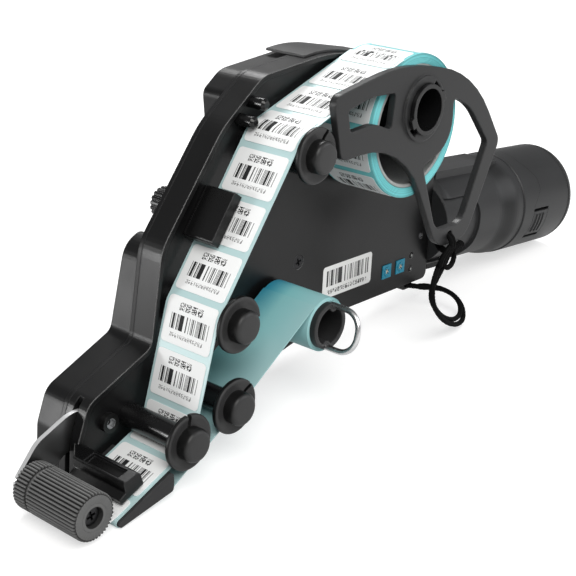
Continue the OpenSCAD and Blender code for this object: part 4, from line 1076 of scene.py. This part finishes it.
class APPLICATOR_OT_collars(bpy.types.Operator):
    """Slit collars on the four guide posts"""

    bl_idname = "applicator.collars"
    bl_label = "Collars"

    # Each collar's name, place and angle of its slit, and half the slit's width
    PLACES = (("upper", UPPER, 62), ("middle", MIDDLE, 0), ("liner", LINER, 42), ("nose", NOSE, 92))
    SLIT = 0.75
    # Radius of the boss, and the flange's section round it in radius and height
    BOSS_R = 6.2
    SECTION = [
        (BOSS_R, 0.0), (9.6, 0.0), (10.1, 0.15), (10.35, 0.45), (10.4, 0.9), (10.4, 1.6), (10.28, 1.95),
        (10.0, 2.15), (9.6, 2.2), (9.1, 2.15), (8.6, 1.95), (7.6, 1.7), (BOSS_R, 1.6),
    ]
    # Radius and depth of the boss's bore, where its shoulder begins and how round it is, and its height
    BORE, DEEP, WALL, SHOULDER, HIGH = 4.08, 6.0, 4.8, 1.9, 6.8

    def execute(self, context):
        finish = self.shade_walled(colours().collar)
        for name, at, slit in self.PLACES:
            skin = Skin()
            self.flange(skin, at, math.radians(slit))
            self.boss(skin, at)
            body, node = f"{name}_collar_body", f"{name}_collar"
            skin.piece(f"{name}_slit_collar", finish, body, "collar_grey", (node,))
        return {"FINISHED"}

    def shade_walled(self, colour):
        """Matt plastic with grey faces and walls darkened as painted shade, told apart by the normal across
        the machine.
        """
        f = Finish("collar_plastic", Specular_IOR_Level=0.3)
        speck, cloud = f.grained(0.42, scale=60.0)
        face = f.shaded(cloud, colour, 0.85, 1.15)
        # Walls that do not face across the machine darkened: painted shade
        f.feed(Base_Color=f.mix(f.facing().ramp(0.3, 0.85), scaled(colour, 0.15), face))
        return f.bump(speck, 0.14, f.rounded(FINE_EDGE)).material

    def flange(self, skin, at, slit):
        """A dished ring section carried round from one wall of the slit to the other: the start angle is the
        arc sine of half the slit's width over the radius, so that both walls are straight."""
        r, h = np.array(self.SECTION).T[:, None, :]
        gap = np.arcsin(self.SLIT / r)
        t = np.linspace(0, 1, 97)[:, None]
        skin.grid(about(at, r, slit + gap + t * (2 * math.pi - 2 * gap), COLLAR_BACK - h))

    def boss(self, skin, at):
        """A domed cup: an outer wall, a quarter-round shoulder, and a bore for the spigot behind."""
        centre = (self.BOSS_R - self.SHOULDER, self.WALL)
        dome = centre + self.SHOULDER * heading(np.linspace(0, math.pi / 2, 9))
        cup = [(self.BORE, self.DEEP), (self.BORE, 0.0), (self.BOSS_R, 0.0), (self.BOSS_R, 1.2)]
        top = [(1.5, self.HIGH), (0.5, self.HIGH)]
        r, h = np.concatenate([cup, dome, top]).T[..., None]
        skin.grid(about(at, r, full_turn(72), COLLAR_BACK - h))


class APPLICATOR_OT_press_roller(bpy.types.Operator):
    """Ribbed rubber sleeve of the press roller"""

    bl_idname = "applicator.press_roller"
    bl_label = "Press roller"

    # Radii of the bore, of the ribs' root and of where the painted shade in their roots ends, and the ribs'
    # height
    BORE, ROOT, PALE, RISE = 5.05, 7.9, 8.6, 0.8
    # Place across the machine, radius and share of the ribs' height, along the outside and back in the bore
    PROFILE = [
        (-30.0, BORE, 0.0), (-30.0, 7.6, 0.0), (-29.75, 7.85, 0.75), (-29.2, ROOT, 1.0), (-5.9, ROOT, 1.0),
        (-5.7, 7.85, 0.85), (-5.65, 7.55, 0.0), (-4.55, 7.55, 0.0), (-4.5, 7.85, 0.85), (-4.3, ROOT, 1.0),
        (0.7, ROOT, 1.0), (1.25, 7.85, 0.75), (1.5, 7.6, 0.0), (1.5, BORE, 0.0), (1.0, BORE, 0.0),
        (-29.5, BORE, 0.0),
    ]
    # Points to a rib, how steep its flanks are, and how much wider than the groove it is
    PER_RIB, STEEP, WIDER = 12, 3.0, 0.15

    def execute(self, context):
        """The radius is the profile's plus the ribs' height times a cosine squared off by a tanh."""
        n = sizes().ribs
        a = full_turn(n * self.PER_RIB)[None, :]
        wave = np.tanh(self.STEEP * (np.cos(n * a) + self.WIDER))
        crown = 0.5 + 0.5 * wave / math.tanh(self.STEEP * (1 + self.WIDER))
        y, radius, share = np.array(self.PROFILE).T[..., None]
        sleeve = about(ROLLER, radius + self.RISE * crown * share, a, y)
        finish = rubber("roller_rubber", colours().rubber, ROLLER, self.ROOT, self.PALE)
        Skin().grid(sleeve, round_rows=True).piece(
            "ribbed_sleeve", finish, "roller", "roller_rubber", ("press_roller",), BLUNT
        )
        return {"FINISHED"}


class APPLICATOR_OT_trigger_coil(bpy.types.Operator):
    """Return coil between the trigger and its switch"""

    bl_idname = "applicator.trigger_coil"
    bl_label = "Trigger coil"

    RADIUS, WIRE, TURNS = 2.2, 0.25, 4
    # Its foot over the handle's axis, its height, its place along it, and what a full pull leaves of it
    BASE, HIGH, ALONG, KEEP = -15.95, 3.0, 25.0, 0.28

    def execute(self, context):
        """A helix: a circle about the coil's axis that climbs with the angle."""
        t = np.linspace(0, 1, 24 * self.TURNS + 1)
        a = 2 * math.pi * self.TURNS * t
        x, y = self.ALONG + self.RADIUS * np.cos(a), self.RADIUS * np.sin(a)
        helix = on_handle(x, y, self.BASE + self.HIGH * t)
        wire = metal("coil_wire", (0.62, 0.63, 0.65), 0.22)
        coil = swept(Skin(), helix, self.WIRE, 8).piece(
            "return_coil", wire, "machine", "spring_steel", ("trigger_spring",)
        )
        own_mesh(coil)
        return {"FINISHED"}


class APPLICATOR_OT_sticker(bpy.types.Operator):
    """White sticker with plain bars"""

    bl_idname = "applicator.sticker"
    bl_label = "Sticker"

    SIZE, CORNER = (33.0, 14.0), 1.5
    # Boxes of its bars and marks, in shares of its height and width
    BARS, MARKS = (0.36, 0.86, 0.07, 0.93), (0.11, 0.25, 0.10, 0.90)
    # Scale and plane of each row, from the back to the slightly drawn-in front
    ROWS = ((1.0, -0.005), (1.0, -0.11), (0.996, -0.15))

    def execute(self, context):
        """A rectangle with quarter-round corners, repeated at each plane."""
        half = np.array(self.SIZE) / 2
        a = np.linspace(0, math.pi / 2, 7) + np.arange(4)[:, None] * math.pi / 2
        corners = (half - self.CORNER) * [(1, 1), (-1, 1), (-1, -1), (1, -1)]
        loop = (corners[:, None, :] + self.CORNER * heading(a)).reshape(-1, 2)
        scale, y = np.array(self.ROWS).T[..., None]
        x, z = STICKER[0] + scale * loop[:, 0], STICKER[1] + scale * loop[:, 1]
        points = np.stack(np.broadcast_arrays(x, y, z), -1)
        flat = np.stack([loop + half] * len(points))
        Skin().grid(points, flat).piece(
            "bar_sticker", self.printed(), "machine", "sticker_white", ("serial_sticker",)
        )
        return {"FINISHED"}

    def printed(self):
        """White film with a wide row of bars over a thin row of marks."""
        f = Finish("sticker_film", Specular_IOR_Level=0.5)
        across, up = f.uv()
        width, height = self.SIZE
        rows = Print(f, up, across, height, width)
        ink = rows.bars(self.BARS, 0.34)
        ink = ink + rows.marks(self.MARKS, 0.36, 1.7, 0.78, 0.42)
        speck = f.noise(1500.0)
        f.feed(Base_Color=f.mix(ink, (0.84, 0.84, 0.83), (0.02, 0.02, 0.02)))
        f.feed(Roughness=(speck - 0.5) * 0.1 + 0.38)
        return f.bump(speck, 0.04).material


class APPLICATOR_OT_finishes(bpy.types.Operator):
    """Finishes on the frame's own nodes"""

    bl_idname = "applicator.finishes"
    bl_label = "Finishes"

    # Colours of the small rings and dots, and of the dark round them; the indicator lens's pale dot is a
    # painted glint
    CREAM, GLASS, STEEL = (0.60, 0.55, 0.46), (0.30, 0.31, 0.30), (0.50, 0.51, 0.52)
    PITCH, BLACKED = (0.003, 0.003, 0.003), (0.006, 0.006, 0.006)
    # Inner and outer radii of those, in millimetres; a dot has no inner one
    ROTOR, LENS, BOLT, HUB = (-1.0, 0.9), (-1.0, 0.5), (1.0, 1.95), (3.9, 9.0)

    def execute(self, context):
        tone = colours()
        shade = scaled(tone.rubber, 0.2)
        made = {
            "frame_black": highlight_lined("frame_plastic", tone.black, 0.34, 0.34),
            "cover_dark": moulded("cover_plastic", scaled(tone.black, 1.25), 0.38, 0.18, 0.0008, 2.4, 0.28),
            "top_cover_grey": moulded("top_cover_plastic", (0.040, 0.0402, 0.041), 0.42, 0.18),
            "handle_dark": grip("handle_plastic", tone.handle),
            "cap_dark": grip("cap_plastic", scaled(tone.handle, 0.92)),
            "trigger_black": moulded("trigger_plastic", tone.black, 0.42),
            "post_black": moulded("post_plastic", tone.dark, 0.24, 0.06, 0.0005, 7.0, 0.42),
            "sensor_black": moulded("sensor_plastic", scaled(tone.dark, 0.8), 0.3, 0.1, 0.0006, 12.0, 0.36),
            "peel_grey": moulded("peel_plastic", (0.028, 0.028, 0.029), 0.5, 0.14, 0.0004, 1.8),
            "hub_grey": ringed("hub_plastic", (ROLLER,), *self.HUB, tone.rubber, shade, 0.6),
            "retainer_grey": moulded("retainer_plastic", tone.retainer, 0.38, 0.16, 0.0011, 2.2),
            "gear_white": moulded("gear_plastic", (0.62, 0.62, 0.60), 0.45, 0.1, 0.0002, 1.05),
            "board_green": moulded("board_lacquer", (0.014, 0.11, 0.040), 0.3, 0.1, 0.0002, 1.3),
            "trimmer_blue": moulded("trimmer_blue", tone.blue, 0.32, 0.08, 0.0003, 1.2),
            "rotor_cream": ringed("rotor_cream", TRIMMERS, *self.ROTOR, self.CREAM, tone.blue, 0.4),
            # Indicator lens: a pale painted glint in the middle of the dark lens
            "indicator_clear": ringed("indicator_lens", LEDS, *self.LENS, self.GLASS, self.PITCH, 0.2),
            "button_grey": moulded("button_plastic", (0.09, 0.09, 0.095), 0.42),
            "battery_wrap": moulded("battery_wrap", (0.045, 0.068, 0.125), 0.34, 0.1, 0.0004, 1.2),
            "arm_metal": plate_metal("arm_plate", (0.24, 0.242, 0.245), (0.52, 0.525, 0.53)),
            "bolt_steel": ringed("bolt_steel", (PIVOT,), *self.BOLT, self.STEEL, self.BLACKED, 0.34, 0.9),
            "black_steel": metal("blacked_steel", (0.045, 0.045, 0.047), 0.36),
            "spring_steel": metal("spring_steel", (0.62, 0.63, 0.65), 0.22),
            "bearing_bronze": metal("bearing_bronze", (0.47, 0.30, 0.12), 0.32),
            "motor_steel": metal("motor_case", (0.45, 0.46, 0.47), 0.3, (1.0, 12.0, 1.0)),
        }
        for name, node in NODES.items():
            finish = made.get(SLOT_OF[name])
            if finish:
                node.data.materials.clear()
                node.data.materials.append(finish)
            elif not node.hide_render:
                raise RuntimeError(f"{name} has no finish")
        return {"FINISHED"}


class APPLICATOR_PT_panel(bpy.types.Panel):
    """Lists the dressing's operators and its sizes"""

    bl_idname = "APPLICATOR_PT_panel"
    bl_label = "Label applicator"
    bl_space_type = "VIEW_3D"
    bl_region_type = "UI"
    bl_category = "Applicator"

    def draw(self, context):
        for operator in OPERATORS:
            self.layout.operator(operator.bl_idname)
        for group in (context.scene.applicator_sizes, context.scene.applicator_colours):
            for name in group.__annotations__:
                self.layout.prop(group, name)


OPERATORS = (
    APPLICATOR_OT_stage,
    APPLICATOR_OT_lanyard,
    APPLICATOR_OT_web,
    APPLICATOR_OT_label_roll,
    APPLICATOR_OT_take_up,
    APPLICATOR_OT_collars,
    APPLICATOR_OT_press_roller,
    APPLICATOR_OT_trigger_coil,
    APPLICATOR_OT_sticker,
    APPLICATOR_OT_finishes,
)
CLASSES = (ApplicatorSizes, ApplicatorColours, *OPERATORS, APPLICATOR_PT_panel)


def register():
    """Registers the classes and hangs the sizes and colours on the scene."""
    for each in CLASSES:
        bpy.utils.register_class(each)
    bpy.types.Scene.applicator_sizes = PointerProperty(type=ApplicatorSizes)
    bpy.types.Scene.applicator_colours = PointerProperty(type=ApplicatorColours)


def unregister():
    """Takes them off again."""
    del bpy.types.Scene.applicator_sizes
    del bpy.types.Scene.applicator_colours
    for each in reversed(CLASSES):
        bpy.utils.unregister_class(each)


def main():
    """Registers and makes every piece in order."""
    register()
    for operator in OPERATORS:
        group, call = operator.bl_idname.split(".")
        getattr(getattr(bpy.ops, group), call)()


if __name__ == "__main__":
    main()
